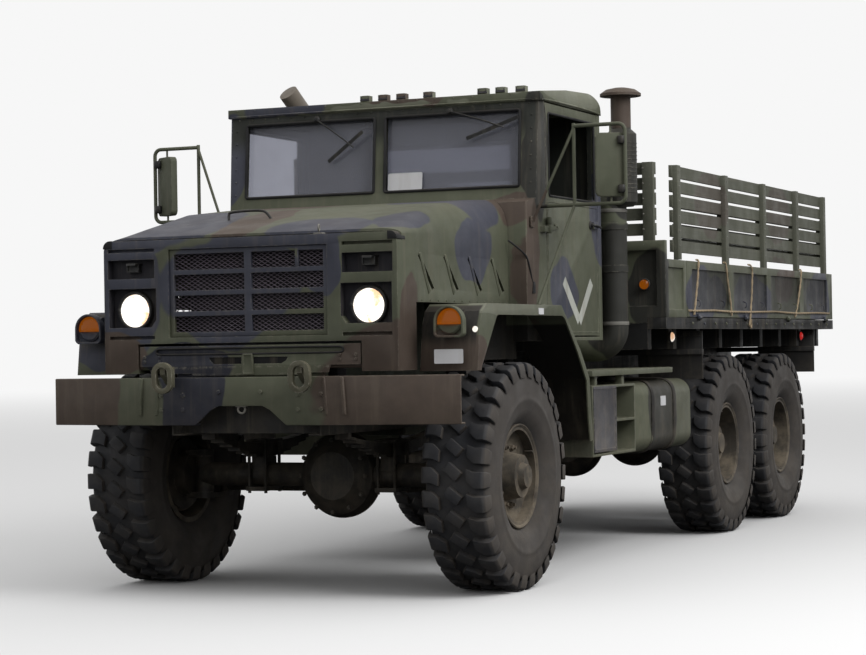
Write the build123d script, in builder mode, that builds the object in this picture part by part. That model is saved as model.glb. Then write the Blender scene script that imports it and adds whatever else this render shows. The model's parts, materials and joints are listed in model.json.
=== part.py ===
"""Six-wheel-drive military cargo truck: chassis, hard cab, cargo bed with racks, doors and gates.

Millimetres. X is the truck's left, Y runs from the front to the rear and Z is up. The origin is on
the ground, under the middle of the truck's overall length. Places along the truck are worked out
from the front axle, and places on the left are mirrored for the right.
"""
from build123d import *
from math import cos, pi, radians, sin
import os

os.makedirs("parts", exist_ok=True)

# Layout along the truck, measured from the front axle
front_reach = 1100          # forward to the tips of the tow shackles
rear_reach = 6700           # back to the tips of the tow eyes
first_bogie_axle = 3861     # back to the first rear axle
bogie_spacing = 1372        # between the two rear axles
front_axle_y = (front_reach - rear_reach) / 2
bogie_axles_y = [front_axle_y + first_bogie_axle, front_axle_y + first_bogie_axle + bogie_spacing]
trunnion_y = sum(bogie_axles_y) / 2

# Tyres and wheels
tyre_radius = 600
tyre_width = 375
bead_radius = 254
rim_width = 260
rim_wall = 10
wheel_track = 1980          # between the centres of the two wheels of an axle
spindle_radius = 45
drum_radius = 208
pin_clearance = 0.5         # round spindles, kingpins and hinge pins
seat_gap = 0.3              # between pieces that are bolted or hung together
axle_height = tyre_radius
wheel_x = wheel_track / 2

# Frame
rail_outside = 430          # from the middle to a rail's outer face
rail_height = 250
rail_flange = 75
rail_wall = 9
rail_top = 1100
rail_front_y = front_axle_y - 935
rail_rear_y = front_axle_y + 6450
rail_bottom = rail_top - rail_height

# Cab
cab_half_width = 985
cowl_half_width = 950         # the cab's sides draw in ahead of the doors
cab_front_y = front_axle_y + 715      # foot of the windshield
cab_rear_y = front_axle_y + 1750
cowl_depth = 115                      # the cowl's reach ahead of the windshield
cab_floor_z = 1311
belt_z = 2110
cab_top_z = 2660
cab_wall = 35
windshield_rake = 45
door_front_y = front_axle_y + 825
door_rear_y = front_axle_y + 1695
door_bottom_z = cab_floor_z + 20
door_gap = 8
door_wall = 45

# Hood, which tilts forward with the grille and the headlamps
hood_front_y = front_axle_y - 900
hood_half_width = 845
hood_wall = 16
hood_bottom_z = 1515
hood_rear_gap = 8
hood_rear_y = cab_front_y - cowl_depth - hood_rear_gap
nose_depth = 70             # the thick front panel that carries the lamps
nose_bottom_z = 1325
lamp_box_bottom_z = 1172
mesh_half_width = 457
mesh_bottom_z = 1357
mesh_top_z = 1813
lamp_x = 675
lamp_z = 1500
lamp_radius = 88

# Cargo bed
bed_half_width = 1238
bed_front_y = front_axle_y + 2205
bed_rear_y = front_axle_y + 6450
sill_bottom_z = 1375
sill_top_z = 1445
sill_width = 123
gate_clearance = 6
gate_bottom_z = sill_top_z + gate_clearance
gate_top_z = 1805
gate_wall = 58
gate_rail = 50
gate_skin = 7
deck_wall = 45
deck_step = 12              # the deck stands above the sills
deck_top_z = sill_top_z + deck_step
corner_length = 430         # the fixed side of the front wall
front_wall_top_z = 1920
rack_top_z = 2404
rack_slat = 75
rack_pitch = 94
rack_slats = 6
stake_width = 70
stake_depth = 32
slat_wall = 22

left_right = (1, -1)


def save(piece, name):
    """Label a finished piece and write its file."""
    piece.part.label = name
    export_step(piece.part, f"parts/{name}.step")


def block(x, y, z, mode=Mode.ADD):
    """A block between a low and a high value along each axis."""
    middle = [(low + high) / 2 for low, high in (x, y, z)]
    with Locations(tuple(middle)):
        Box(x[1] - x[0], y[1] - y[0], z[1] - z[0], mode=mode)


def side_plate(corners, x_low, x_high, mode=Mode.ADD):
    """A plate with these (y, z) corners seen from the side, between two x planes."""
    with BuildSketch(Plane.YZ.offset(x_low)) as outline:
        with BuildLine():
            Polyline(*corners, close=True)
        make_face()
    extrude(outline.sketch, amount=x_high - x_low, mode=mode)


def front_plate(corners, y_front, y_rear, mode=Mode.ADD):
    """A plate with these (x, z) corners seen from the front, between two y planes."""
    with BuildSketch(Plane.XZ.offset(-y_rear)) as outline:
        with BuildLine():
            Polyline(*corners, close=True)
        make_face()
    extrude(outline.sketch, amount=y_rear - y_front, mode=mode)


def rod(start, end, radius, mode=Mode.ADD):
    """A round bar between two points."""
    axis = Vector(*end) - Vector(*start)
    with BuildSketch(Plane(origin=start, z_dir=axis)) as section:
        Circle(radius)
    extrude(section.sketch, amount=axis.length, mode=mode)


def tube(points, radius, bend, mode=Mode.ADD):
    """A round bar along straight runs that are joined by bends of one radius."""
    with BuildLine() as path:
        FilletPolyline(*points, radius=bend)
    run = Vector(*points[1]) - Vector(*points[0])
    with BuildSketch(Plane(origin=points[0], z_dir=run)) as section:
        Circle(radius)
    sweep(section.sketch, path=path.line, mode=mode)


def turned(profile, plane, mode=Mode.ADD):
    """A solid turned about a plane's x direction, with (along, radius) corners."""
    with BuildSketch(plane) as section:
        with BuildLine():
            Polyline(*profile, close=True)
        make_face()
    revolve(section.sketch, axis=Axis(plane.origin, plane.x_dir), mode=mode)


# Frame: two channel rails and the cross members between them
cross_member_y = (rail_front_y + 135, cab_rear_y - 250, cab_rear_y + 950, trunnion_y, rail_rear_y - 450)
cross_member_depth = 90
cab_mounts_y = (front_axle_y + 860, cab_rear_y - 100)
with BuildPart() as frame_rails:
    for side in left_right:
        outer, inner = side * rail_outside, side * (rail_outside - rail_flange)
        web = side * (rail_outside - rail_wall)
        front_plate(
            [(outer, rail_bottom), (inner, rail_bottom), (inner, rail_bottom + rail_wall),
             (web, rail_bottom + rail_wall), (web, rail_top - rail_wall), (inner, rail_top - rail_wall),
             (inner, rail_top), (outer, rail_top)],
            rail_front_y, rail_rear_y)
    for y in cross_member_y:
        block((-rail_outside + rail_wall, rail_outside - rail_wall),
              (y - cross_member_depth / 2, y + cross_member_depth / 2),
              (rail_bottom + rail_wall, rail_top - rail_wall))
        block((-rail_outside + rail_flange, rail_outside - rail_flange),
              (y - cross_member_depth / 2 + rail_wall, y + cross_member_depth),
              (rail_bottom + 2 * rail_wall, rail_top - 2 * rail_wall), mode=Mode.SUBTRACT)
    for y in cab_mounts_y:
        for side in left_right:
            inner, outer = sorted((side * (rail_outside - rail_flange), side * rail_outside))
            block((inner, outer), (y - 40, y + 40), (rail_top, cab_floor_z))
save(frame_rails, "frame_rails")

# Front bumper: a pressed beam with swept ends and an arched notch for the tow pin
bumper_face_y = front_axle_y - 990
bumper_end_y = front_axle_y - 880
bumper_half_width = 1170
bumper_bend_x = 500
bumper_bottom_z = 905
bumper_top_z = 1150
bumper_wall = 10
bumper_lip = 55
notch_top_z = 1003
notch_top_half_width = 145
notch_bottom_half_width = 260
notch_ease = (23, 20)
with BuildPart() as front_bumper:
    with BuildSketch(Plane.XY.offset(bumper_bottom_z)):
        with BuildLine():
            Polyline((-bumper_half_width, bumper_end_y), (-bumper_bend_x, bumper_face_y),
                     (bumper_bend_x, bumper_face_y), (bumper_half_width, bumper_end_y),
                     (bumper_half_width, bumper_end_y + bumper_lip),
                     (bumper_bend_x, bumper_face_y + bumper_lip),
                     (-bumper_bend_x, bumper_face_y + bumper_lip),
                     (-bumper_half_width, bumper_end_y + bumper_lip), close=True)
        make_face()
    extrude(amount=bumper_top_z - bumper_bottom_z)
    with BuildSketch(Plane.XY.offset(bumper_bottom_z + bumper_wall)):
        with BuildLine():
            Polyline((-bumper_half_width, bumper_end_y + bumper_wall),
                     (-bumper_bend_x, bumper_face_y + bumper_wall),
                     (bumper_bend_x, bumper_face_y + bumper_wall),
                     (bumper_half_width, bumper_end_y + bumper_wall),
                     (bumper_half_width, bumper_end_y + 2 * bumper_lip),
                     (-bumper_half_width, bumper_end_y + 2 * bumper_lip), close=True)
        make_face()
    extrude(amount=bumper_top_z - bumper_bottom_z - 2 * bumper_wall, mode=Mode.SUBTRACT)
    with BuildSketch(Plane.XZ.offset(-bumper_face_y - 2 * bumper_lip)):
        with BuildLine():
            Polyline((-notch_bottom_half_width, bumper_bottom_z),
                     (-notch_top_half_width - notch_ease[0], notch_top_z - notch_ease[1]),
                     (-notch_top_half_width + notch_ease[1], notch_top_z),
                     (notch_top_half_width - notch_ease[1], notch_top_z),
                     (notch_top_half_width + notch_ease[0], notch_top_z - notch_ease[1]),
                     (notch_bottom_half_width, bumper_bottom_z), close=True)
        make_face()
    extrude(amount=4 * bumper_lip, mode=Mode.SUBTRACT)
    for side in left_right:
        inner, outer = sorted((side * (rail_outside - rail_flange), side * rail_outside))
        block((inner, outer), (bumper_face_y + bumper_wall, rail_front_y),
              (rail_bottom + bumper_lip, rail_top))
save(front_bumper, "front_bumper")

# Tow shackles: an upright oval ring on a plate that stands out of the bumper on each side
shackle_x = 390
shackle_z = 1150
shackle_size = (160, 120)   # height and width
shackle_bar = 26
bracket_wall = 28
with BuildPart() as tow_shackles:
    for side in left_right:
        x = side * shackle_x
        tip_y = front_axle_y - front_reach
        with BuildSketch(Plane.XZ.offset(-tip_y - shackle_bar)) as ring:
            with Locations((x, shackle_z)):
                SlotOverall(*shackle_size, rotation=90)
                SlotOverall(shackle_size[0] - 2 * shackle_bar, shackle_size[1] - 2 * shackle_bar,
                            rotation=90, mode=Mode.SUBTRACT)
        extrude(ring.sketch, amount=shackle_bar)
        ring_inside_z = shackle_z + shackle_size[0] / 2 - shackle_bar
        side_plate([(bumper_face_y, shackle_z - 50), (tip_y + 60, shackle_z - 30), (tip_y + 8, shackle_z + 20),
                    (tip_y + 8, ring_inside_z + 2), (bumper_face_y, ring_inside_z + 2)],
                   x - bracket_wall / 2, x + bracket_wall / 2)
        rod((x - 24, tip_y + 60, shackle_z + 20), (x + 24, tip_y + 60, shackle_z + 20), 15)
save(tow_shackles, "tow_shackles")

# Front guard: a slotted sheet under the grille on two frame brackets, with the hood's hinge pins
guard_y = (front_axle_y - 890, front_axle_y - 878)
guard_z = (1215, 1312)
guard_half_width = 637
guard_slot = (1080, 30, 1283)           # length, height and middle
guard_foot = [(330, 1216), (150, 1216), (118, 1163), (270, 1163)]      # its openings' corners on the left
hood_pivot_y = hood_front_y + nose_depth / 2
hood_pivot_z = 1200
hinge_pin_radius = 12
hinge_pin_reach = 690
lamp_box_inner_x = 645
guard_bracket = (340, 425)
with BuildPart() as front_guard:
    front_plate([(-guard_half_width, guard_z[0] + 30), (-guard_half_width, guard_z[1]),
                 (guard_half_width, guard_z[1]), (guard_half_width, guard_z[0] + 30),
                 (guard_half_width - 60, guard_z[0]), (-guard_half_width + 60, guard_z[0])], *guard_y)
    front_plate([(-guard_bracket[1], guard_z[0] + 1), (guard_bracket[1], guard_z[0] + 1),
                 (guard_bracket[0], bumper_top_z + 3), (-guard_bracket[0], bumper_top_z + 3)], *guard_y)
    with BuildSketch(Plane.XZ.offset(-guard_y[1] - 1)) as slot:
        with Locations((0, guard_slot[2])):
            SlotOverall(guard_slot[0], guard_slot[1])
    extrude(slot.sketch, amount=guard_y[1] - guard_y[0] + 2, mode=Mode.SUBTRACT)
    for side in left_right:
        front_plate([(side * x, z) for x, z in guard_foot], guard_y[0] - 1, guard_y[1] + 1,
                    mode=Mode.SUBTRACT)
        inner, outer = sorted((side * guard_bracket[0], side * guard_bracket[1]))
        side_plate([(guard_y[1] - 1, guard_z[0] + 5), (guard_y[1] - 1, rail_top),
                    (hood_pivot_y + 30, rail_top), (hood_pivot_y + 30, hood_pivot_z + 20),
                    (guard_y[1] + 16, guard_z[0] + 20)], inner, outer)
        rod((side * guard_bracket[0], hood_pivot_y, hood_pivot_z),
            (side * hinge_pin_reach, hood_pivot_y, hood_pivot_z), hinge_pin_radius)
save(front_guard, "front_guard")

# Radiator between the grille and the engine, standing on the rails
radiator_front_y = front_axle_y - 730
radiator_depth = 110
radiator_half_width = 425
radiator_top_z = 1790
with BuildPart() as radiator:
    block((-radiator_half_width, radiator_half_width),
          (radiator_front_y, radiator_front_y + radiator_depth), (rail_top, radiator_top_z))
    fillet(radiator.edges().filter_by(Axis.Y).group_by(Axis.Z)[-1], radius=30)
    block((-radiator_half_width + 45, radiator_half_width - 45),
          (radiator_front_y, radiator_front_y + 14), (rail_top + 120, radiator_top_z - 70),
          mode=Mode.SUBTRACT)
save(radiator, "radiator")

# Engine, as one plain block on the rails, with the gearbox behind it
engine_half_width = rail_outside - rail_flange
engine_front_y = front_axle_y - 500
engine_rear_y = front_axle_y + 550
engine_bottom_z = 850
engine_top_z = 1540
gearbox_half_width = 220
gearbox_rear_y = front_axle_y + 1400
gearbox_bottom_z = 790
gearbox_top_z = 1160
with BuildPart() as engine_block:
    block((-engine_half_width, engine_half_width), (engine_front_y, engine_rear_y),
          (engine_bottom_z, engine_top_z))
    block((-gearbox_half_width, gearbox_half_width), (engine_rear_y, gearbox_rear_y),
          (gearbox_bottom_z, gearbox_top_z))
save(engine_block, "engine_block")

# Front axle: beam, round differential housing, spring seats and a kingpin boss at each end
beam_radius = 65
kingpin_offset = 225        # from the wheel's centre plane to the kingpin
kingpin_x = wheel_x - kingpin_offset
kingpin_radius = 20
kingpin_boss_radius = 50
kingpin_boss_height = 200
fork_arm = 34
housing_radius = 235
housing_x = 90
housing_depth = 260
spring_x = 390
spring_seat_z = 700
nose_radius = 70
nose_length = 190


def differential(y, x):
    """A round axle housing with a bolted cover in front and a pinion nose behind."""
    half = housing_depth / 2
    profile = [(-half, 0), (-half, housing_radius * 0.55), (-half * 0.55, housing_radius * 0.9),
               (-10, housing_radius), (10, housing_radius), (half * 0.55, housing_radius * 0.9),
               (half, housing_radius * 0.5), (nose_length, nose_radius), (nose_length, 0)]
    turned(profile, Plane(origin=(x, y, axle_height), x_dir=(0, 1, 0), z_dir=(0, 0, 1)))


with BuildPart() as front_axle:
    rod((-kingpin_x, front_axle_y, axle_height), (kingpin_x, front_axle_y, axle_height), beam_radius)
    differential(front_axle_y, housing_x)
    for side in left_right:
        block((side * spring_x - 45, side * spring_x + 45), (front_axle_y - 60, front_axle_y + 60),
              (axle_height, spring_seat_z))
        with Locations((side * kingpin_x, front_axle_y, axle_height)):
            Cylinder(kingpin_boss_radius, kingpin_boss_height)
            Cylinder(kingpin_radius, kingpin_boss_height + 2 * fork_arm)
save(front_axle, "front_axle")

# Leaf springs: a stack of arched leaves under each rail
leaf_wall = 13
leaf_width = 76
front_leaves = 6
front_spring_reach = 620
leaf_step = 92


def leaf_stack(x, y, seat_z, reach, sag, leaves, step, longest_first):
    """Arched leaves, each shorter than the last: sag is the rise of the ends over the middle."""
    for leaf in range(leaves):
        low = seat_z + leaf * leaf_wall
        place = leaves - 1 - leaf if longest_first else leaf
        half = reach - place * step
        rise = sag * (half / reach) ** 2
        with BuildSketch(Plane.YZ.offset(x - leaf_width / 2)) as profile:
            with BuildLine():
                lower = ThreePointArc((y - half, low + rise), (y, low), (y + half, low + rise))
                upper = ThreePointArc((y - half, low + rise + leaf_wall + 0.5), (y, low + leaf_wall + 0.5),
                                      (y + half, low + rise + leaf_wall + 0.5))
                Line(lower @ 0, upper @ 0)
                Line(lower @ 1, upper @ 1)
            make_face()
        extrude(profile.sketch, amount=leaf_width)


front_spring_sag = 60
u_bolt_radius = 9
u_bolt_y = 82
u_bolt_x = 50
u_bolt_low_z = 500
spring_top_z = spring_seat_z + front_leaves * leaf_wall
with BuildPart() as front_springs:
    for side in left_right:
        x = side * spring_x
        leaf_stack(x, front_axle_y, spring_seat_z, front_spring_reach, front_spring_sag, front_leaves,
                   leaf_step, True)
        for end in left_right:
            y = front_axle_y + end * (front_spring_reach - 15)
            block((x - leaf_width / 2, x + leaf_width / 2), (y - 20, y + 20),
                  (spring_top_z + 40, rail_bottom))
        block((x - 62, x + 62), (front_axle_y - 100, front_axle_y + 100), (spring_top_z, spring_top_z + 16))
        block((x - 62, x + 62), (front_axle_y - 100, front_axle_y + 100),
              (u_bolt_low_z + 12, axle_height - beam_radius))
        for across in left_right:
            for along in left_right:
                bolt_x, bolt_y = x + across * u_bolt_x, front_axle_y + along * u_bolt_y
                rod((bolt_x, bolt_y, u_bolt_low_z), (bolt_x, bolt_y, spring_top_z + 16), u_bolt_radius)
save(front_springs, "front_springs")

# Rear bogie: springs that turn on the trunnion and rest on both axles, and the lower torque rods
bogie_spring_x = 525
trunnion_z = 760
trunnion_radius = 48
bogie_leaves = 9
bogie_seat_z = trunnion_z + trunnion_radius + 20
bogie_reach = 700
bogie_sag = -128
bogie_step = 62
torque_rod_radius = 20
torque_rod_x = 300
torque_rod_z = axle_height - 10
torque_bracket_reach = 95
with BuildPart() as rear_springs:
    rod((-bogie_spring_x - 60, trunnion_y, trunnion_z), (bogie_spring_x + 60, trunnion_y, trunnion_z),
        trunnion_radius)
    for side in left_right:
        x = side * bogie_spring_x
        leaf_stack(x, trunnion_y, bogie_seat_z, bogie_reach, bogie_sag, bogie_leaves, bogie_step, False)
        block((x - 55, x + 55), (trunnion_y - 110, trunnion_y + 110), (trunnion_z, bogie_seat_z + 10))
        block((x - 55, x + 55), (trunnion_y - 110, trunnion_y + 110),
              (bogie_seat_z + bogie_leaves * leaf_wall - 2, bogie_seat_z + bogie_leaves * leaf_wall + 18))
        inner, outer = sorted((side * (rail_outside - rail_flange), side * rail_outside))
        block((inner, outer), (trunnion_y - 130, trunnion_y + 130), (torque_rod_z, rail_bottom))
        rod((side * torque_rod_x, bogie_axles_y[0] + torque_bracket_reach + seat_gap, torque_rod_z),
            (side * torque_rod_x, bogie_axles_y[1] - torque_bracket_reach - seat_gap, torque_rod_z),
            torque_rod_radius)
        block(sorted((side * (torque_rod_x - 30), side * rail_outside)), (trunnion_y - 60, trunnion_y + 60),
              (torque_rod_z - 35, trunnion_z - 90))
save(rear_springs, "rear_springs")

# Rear axles: two beams with round housings, brake plates and wheel spindles
rear_beam_radius = 68
brake_plate_wall = 10
brake_plate_gap = 6
drum_back = -80             # the drum's open side, from the wheel's centre plane
hub_bore_end = 62
spring_pad_z = bogie_seat_z + bogie_sag
with BuildPart() as rear_axles:
    for y in bogie_axles_y:
        plate_x = wheel_x + drum_back - brake_plate_gap
        rod((-plate_x, y, axle_height), (plate_x, y, axle_height), rear_beam_radius)
        differential(y, 0)
        for side in left_right:
            rod((side * (plate_x - brake_plate_wall), y, axle_height), (side * plate_x, y, axle_height),
                drum_radius - 10)
            rod((0, y, axle_height), (side * (wheel_x + hub_bore_end - 1), y, axle_height), spindle_radius)
            block((side * bogie_spring_x - 50, side * bogie_spring_x + 50), (y - 60, y + 60),
                  (axle_height, spring_pad_z))
            block((side * torque_rod_x - 25, side * torque_rod_x + 25),
                  sorted((y, y + (torque_bracket_reach if y < trunnion_y else -torque_bracket_reach))),
                  (torque_rod_z - 35, torque_rod_z + 35))
save(rear_axles, "rear_axles")

# Transfer case and propeller shafts
case_y = (front_axle_y + 2130, front_axle_y + 2560)
case_x = (-150, 240)
case_z = (640, 1000)
case_mid_z = 700
shaft_radius = 38
joint_radius = 55
joint_length = 70
shaft_runs = (
    (housing_x, front_axle_y + nose_length, axle_height, case_y[0], case_mid_z),
    (0, case_y[1], case_mid_z, bogie_axles_y[0] - housing_depth / 2, axle_height),
    (0, bogie_axles_y[0] + nose_length, axle_height, bogie_axles_y[1] - housing_depth / 2, axle_height))
with BuildPart() as driveline:
    block(case_x, case_y, case_z)
    fillet(driveline.edges().filter_by(Axis.Y), radius=60)
    block((-rail_outside + rail_wall, rail_outside - rail_wall), (case_y[0] + 60, case_y[0] + 130),
          (case_z[1] - 20, case_z[1] + 30))
    for x, front_y, front_z, rear_y, rear_z in shaft_runs:
        front, rear = front_y + seat_gap, rear_y - seat_gap
        rod((x, front, front_z), (x, front + joint_length, front_z), joint_radius)
        rod((x, rear - joint_length, rear_z), (x, rear, rear_z), joint_radius)
        rod((x, front + joint_length / 2, front_z), (x, rear - joint_length / 2, rear_z), shaft_radius)
save(driveline, "driveline")

# Wheels: disc rims with brake drums; front discs bulge out and rear discs are deep dishes
lip_height = 18
lip_wall = 10
half_rim = rim_width / 2
barrel_in = bead_radius - rim_wall
hub_bore = spindle_radius + pin_clearance
front_rim_section = [
    (drum_back, hub_bore), (drum_back, drum_radius), (40, drum_radius), (60, barrel_in),
    (-half_rim, barrel_in), (-half_rim, bead_radius + lip_height),
    (-half_rim + lip_wall, bead_radius + lip_height), (-half_rim + lip_wall, bead_radius),
    (half_rim - lip_wall, bead_radius), (half_rim - lip_wall, bead_radius + lip_height),
    (half_rim, bead_radius + lip_height), (half_rim, barrel_in), (78, barrel_in), (60, 190),
    (60, 130), (150, 112), (150, 72), (182, 60), (182, 0), (hub_bore_end, 0), (hub_bore_end, hub_bore)]
rear_rim_section = [
    (drum_back, hub_bore), (drum_back, drum_radius), (-68, drum_radius), (-62, barrel_in),
    (-half_rim, barrel_in), (-half_rim, bead_radius + lip_height),
    (-half_rim + lip_wall, bead_radius + lip_height), (-half_rim + lip_wall, bead_radius),
    (half_rim - lip_wall, bead_radius), (half_rim - lip_wall, bead_radius + lip_height),
    (half_rim, bead_radius + lip_height), (half_rim, barrel_in), (-46, barrel_in), (-40, 200),
    (-40, 150), (20, 130), (70, 120), (70, 78), (98, 66), (98, 0), (hub_bore_end, 0),
    (hub_bore_end, hub_bore)]
half_tyre = tyre_width / 2
bead_gap = 0.3
half_bead = half_rim - lip_wall - bead_gap
tyre_sectors = 26
facet_rise = 1 / cos(pi / tyre_sectors)     # keeps the middles of the inner facets off the rim
tread_depth = 24
tread_middle = 30                           # each bar reaches this far past the middle
sidewall = [(half_bead, (bead_radius + bead_gap) * facet_rise),
            (half_bead, (bead_radius + lip_height + 1) * facet_rise),
            (half_tyre, tyre_radius - 170), (half_tyre - 12, tyre_radius - 60)]
bar_corner = (half_tyre - 42, tyre_radius)
groove_corner = (half_tyre - 54, tyre_radius - tread_depth)


def faceted_tyre():
    """A tyre about the X axis, of flat facets, with bars from its two shoulders by turns."""
    def corner(point, sector):
        angle = 2 * pi * sector / tyre_sectors - pi / 2
        return (point[0], point[1] * cos(angle), point[1] * sin(angle))

    def facet(*corners):
        return Face(Wire.make_polygon([Vector(*place) for place in corners], close=True))

    facets = []
    for sector in range(tyre_sectors):
        side = 1 if sector % 2 else -1
        barred = [(side * along, radius) for along, radius in sidewall + [bar_corner]]
        middle = [(side * tread_middle, tyre_radius), (-side * tread_middle, tyre_radius)]
        open_side = [(-side * along, radius)
                     for along, radius in [(tread_middle, tyre_radius - tread_depth), groove_corner]
                     + sidewall[::-1]]
        strip = barred + middle[1:] + open_side
        for first, second in zip(strip, strip[1:] + strip[:1]):
            near, far = [first, second], [second, first]
            if first == barred[-1]:
                near, far = [first, *middle], [*middle[::-1], first]
            facets.append(facet(*[corner(point, sector) for point in near],
                                *[corner(point, sector + 1) for point in far]))
        for end in left_right:
            facets.append(facet(*[corner((end * along, radius), sector) for along, radius in (
                sidewall[-1], bar_corner, (tread_middle, tyre_radius),
                (tread_middle, tyre_radius - tread_depth), groove_corner)]))
    return Solid(Shell(facets))


tyre_form = faceted_tyre()


def wheel_plane(x, y, side):
    """A wheel's own plane, with its x direction pointing outboard."""
    return Plane(origin=(x, y, axle_height), x_dir=(side, 0, 0), z_dir=(0, 0, side))


wheel_places = {"front_left": (1, front_axle_y, front_rim_section),
                "front_right": (-1, front_axle_y, front_rim_section),
                "middle_left": (1, bogie_axles_y[0], rear_rim_section),
                "middle_right": (-1, bogie_axles_y[0], rear_rim_section),
                "rear_left": (1, bogie_axles_y[1], rear_rim_section),
                "rear_right": (-1, bogie_axles_y[1], rear_rim_section)}
for place, (side, y, rim_section) in wheel_places.items():
    with BuildPart() as tyre:
        add(tyre_form.moved(wheel_plane(side * wheel_x, y, side).location))
    save(tyre, f"tyre_{place}")
    with BuildPart() as rim:
        turned(rim_section, wheel_plane(side * wheel_x, y, side))
    save(rim, f"rim_{place}")

# Steering knuckles: a fork over the kingpin boss, a brake plate, the spindle and the rod arm
fork_clearance = 0.5
fork_half_height = kingpin_boss_height / 2 + fork_clearance
fork_wall_x = kingpin_x + kingpin_boss_radius + 12
arm_length = 230
arm_wall = 24
arm_z = axle_height - fork_half_height - fork_arm
rod_pin_radius = 12
rod_eye_radius = 28
rod_eye_height = 40
for name, side in (("knuckle_left", 1), ("knuckle_right", -1)):
    with BuildPart() as knuckle:
        pin_x = side * kingpin_x
        plate_x = side * (wheel_x + drum_back - brake_plate_gap)
        wall_x = side * fork_wall_x
        for end in left_right:
            low = fork_half_height if end > 0 else -fork_half_height - fork_arm
            with BuildSketch(Plane.XY.offset(axle_height + low)) as arm:
                with Locations((pin_x, front_axle_y)):
                    Circle(kingpin_boss_radius)
                with Locations(((pin_x + wall_x) / 2 + side * 15, front_axle_y)):
                    Rectangle(abs(wall_x - pin_x) + 30, 2 * kingpin_boss_radius)
            extrude(arm.sketch, amount=fork_arm)
        rod((wall_x, front_axle_y, axle_height), (plate_x, front_axle_y, axle_height),
            fork_half_height + fork_arm - 10)
        block((min(wall_x, wall_x + side * 30), max(wall_x, wall_x + side * 30)),
              (front_axle_y - kingpin_boss_radius, front_axle_y + kingpin_boss_radius),
              (axle_height - fork_half_height - fork_arm, axle_height + fork_half_height + fork_arm))
        rod((plate_x - side * brake_plate_wall, front_axle_y, axle_height),
            (plate_x, front_axle_y, axle_height), drum_radius - 10)
        rod((wall_x, front_axle_y, axle_height),
            (side * (wheel_x + hub_bore_end - 1), front_axle_y, axle_height), spindle_radius)
        block((pin_x - 26, pin_x + 26), (front_axle_y + 30, front_axle_y + arm_length),
              (arm_z, arm_z + arm_wall))
        with Locations((pin_x, front_axle_y + arm_length, arm_z + arm_wall / 2)):
            Cylinder(rod_eye_radius, arm_wall)
        rod((pin_x, front_axle_y + arm_length, arm_z),
            (pin_x, front_axle_y + arm_length, arm_z + arm_wall + rod_eye_height), rod_pin_radius)
        fork_top_z = axle_height + fork_half_height + fork_arm
        rod((pin_x, front_axle_y, arm_z - 1), (pin_x, front_axle_y, fork_top_z),
            kingpin_radius + pin_clearance, mode=Mode.SUBTRACT)
    save(knuckle, name)

# Tie rod between the two knuckle arms
with BuildPart() as tie_rod:
    eye_z = arm_z + arm_wall + fork_clearance
    rod_y = front_axle_y + arm_length
    rod((-kingpin_x, rod_y, eye_z + rod_eye_height / 2), (kingpin_x, rod_y, eye_z + rod_eye_height / 2), 17)
    for side in left_right:
        with Locations((side * kingpin_x, rod_y, eye_z + rod_eye_height / 2)):
            Cylinder(rod_eye_radius, rod_eye_height)
            Cylinder(rod_pin_radius + pin_clearance, rod_eye_height, mode=Mode.SUBTRACT)
save(tie_rod, "tie_rod")

# The cab's plan, which the fenders are cut to
cowl_front_y = cab_front_y - cowl_depth


def cab_side_x(y):
    """How far out the cab's side lies at a place along the truck."""
    share = min(max((y - cowl_front_y) / (door_front_y - cowl_front_y), 0), 1)
    return cowl_half_width + share * (cab_half_width - cowl_half_width)


def cab_plan(inset):
    """The cab's outline seen from above, set in by a wall."""
    front, rear = cowl_front_y + inset, cab_rear_y - inset
    left = [(cab_side_x(front) - inset, front), (cab_half_width - inset, door_front_y),
            (cab_half_width - inset, rear)]
    return left + [(-x, y) for x, y in reversed(left)]


# Fenders: a folded sheet with a steep front, a flat top, a long rear slope and a lip over the arch
fender_inner_x = hood_half_width + 10
fender_outer_x = 1170
fender_wall = 9
fender_top_z = 1503
fender_front_z = 1165
fender_lamp_x = (984, 1072)
fender_lamp_side = [(-715, 1388), (-715, 1466), (-700, 1474), (-578, 1474), (-626, 1388)]
fender_over = [(-660, fender_front_z), (-630, 1385), (-590, 1465), (-525, fender_top_z),
               (550, fender_top_z), (845, 1255), (985, 1095), (1010, 870), (1030, 745)]
fender_under = [(985, 738), (962, 865), (940, 1080), (800, 1243), (600, 1432), (560, 1446), (-375, 1446),
                (-398, 1436), (-600, 1190), (-612, fender_front_z)]
fender_inside = [(-652, 0), (-651, fender_front_z), (-621, 1382), (-583, 1459),
                 (-521, fender_top_z - fender_wall), (547, fender_top_z - fender_wall), (838, 1249),
                 (976, 1091), (1001, 869), (1021, 744), (1021, 0)]
fender_panel = [(-585, 1213), (-585, 1400), (-520, fender_top_z - 1), (550, fender_top_z - 1), (640, 1400),
                (640, 1213)]


def from_axle(corners):
    """Corners seen from the side, moved from the front axle to the truck's own origin."""
    return [(front_axle_y + y, z) for y, z in corners]


with BuildPart() as fenders:
    side_plate(from_axle(fender_over + fender_under), fender_inner_x, fender_outer_x)
    side_plate(from_axle(fender_inside), fender_inner_x - 1, fender_outer_x - fender_wall, mode=Mode.SUBTRACT)
    side_plate(from_axle(fender_panel), fender_inner_x, fender_inner_x + fender_wall)
    side_plate(from_axle(fender_lamp_side), *fender_lamp_x)
    with BuildSketch(Plane.XY.offset(cab_floor_z - seat_gap)) as cab_place:
        with BuildLine():
            Polyline(*cab_plan(-seat_gap), close=True)
        make_face()
    extrude(cab_place.sketch, amount=fender_top_z + 1 - cab_floor_z, mode=Mode.SUBTRACT)
    mirror(fenders.part, about=Plane.YZ)
save(fenders, "fenders")

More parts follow.
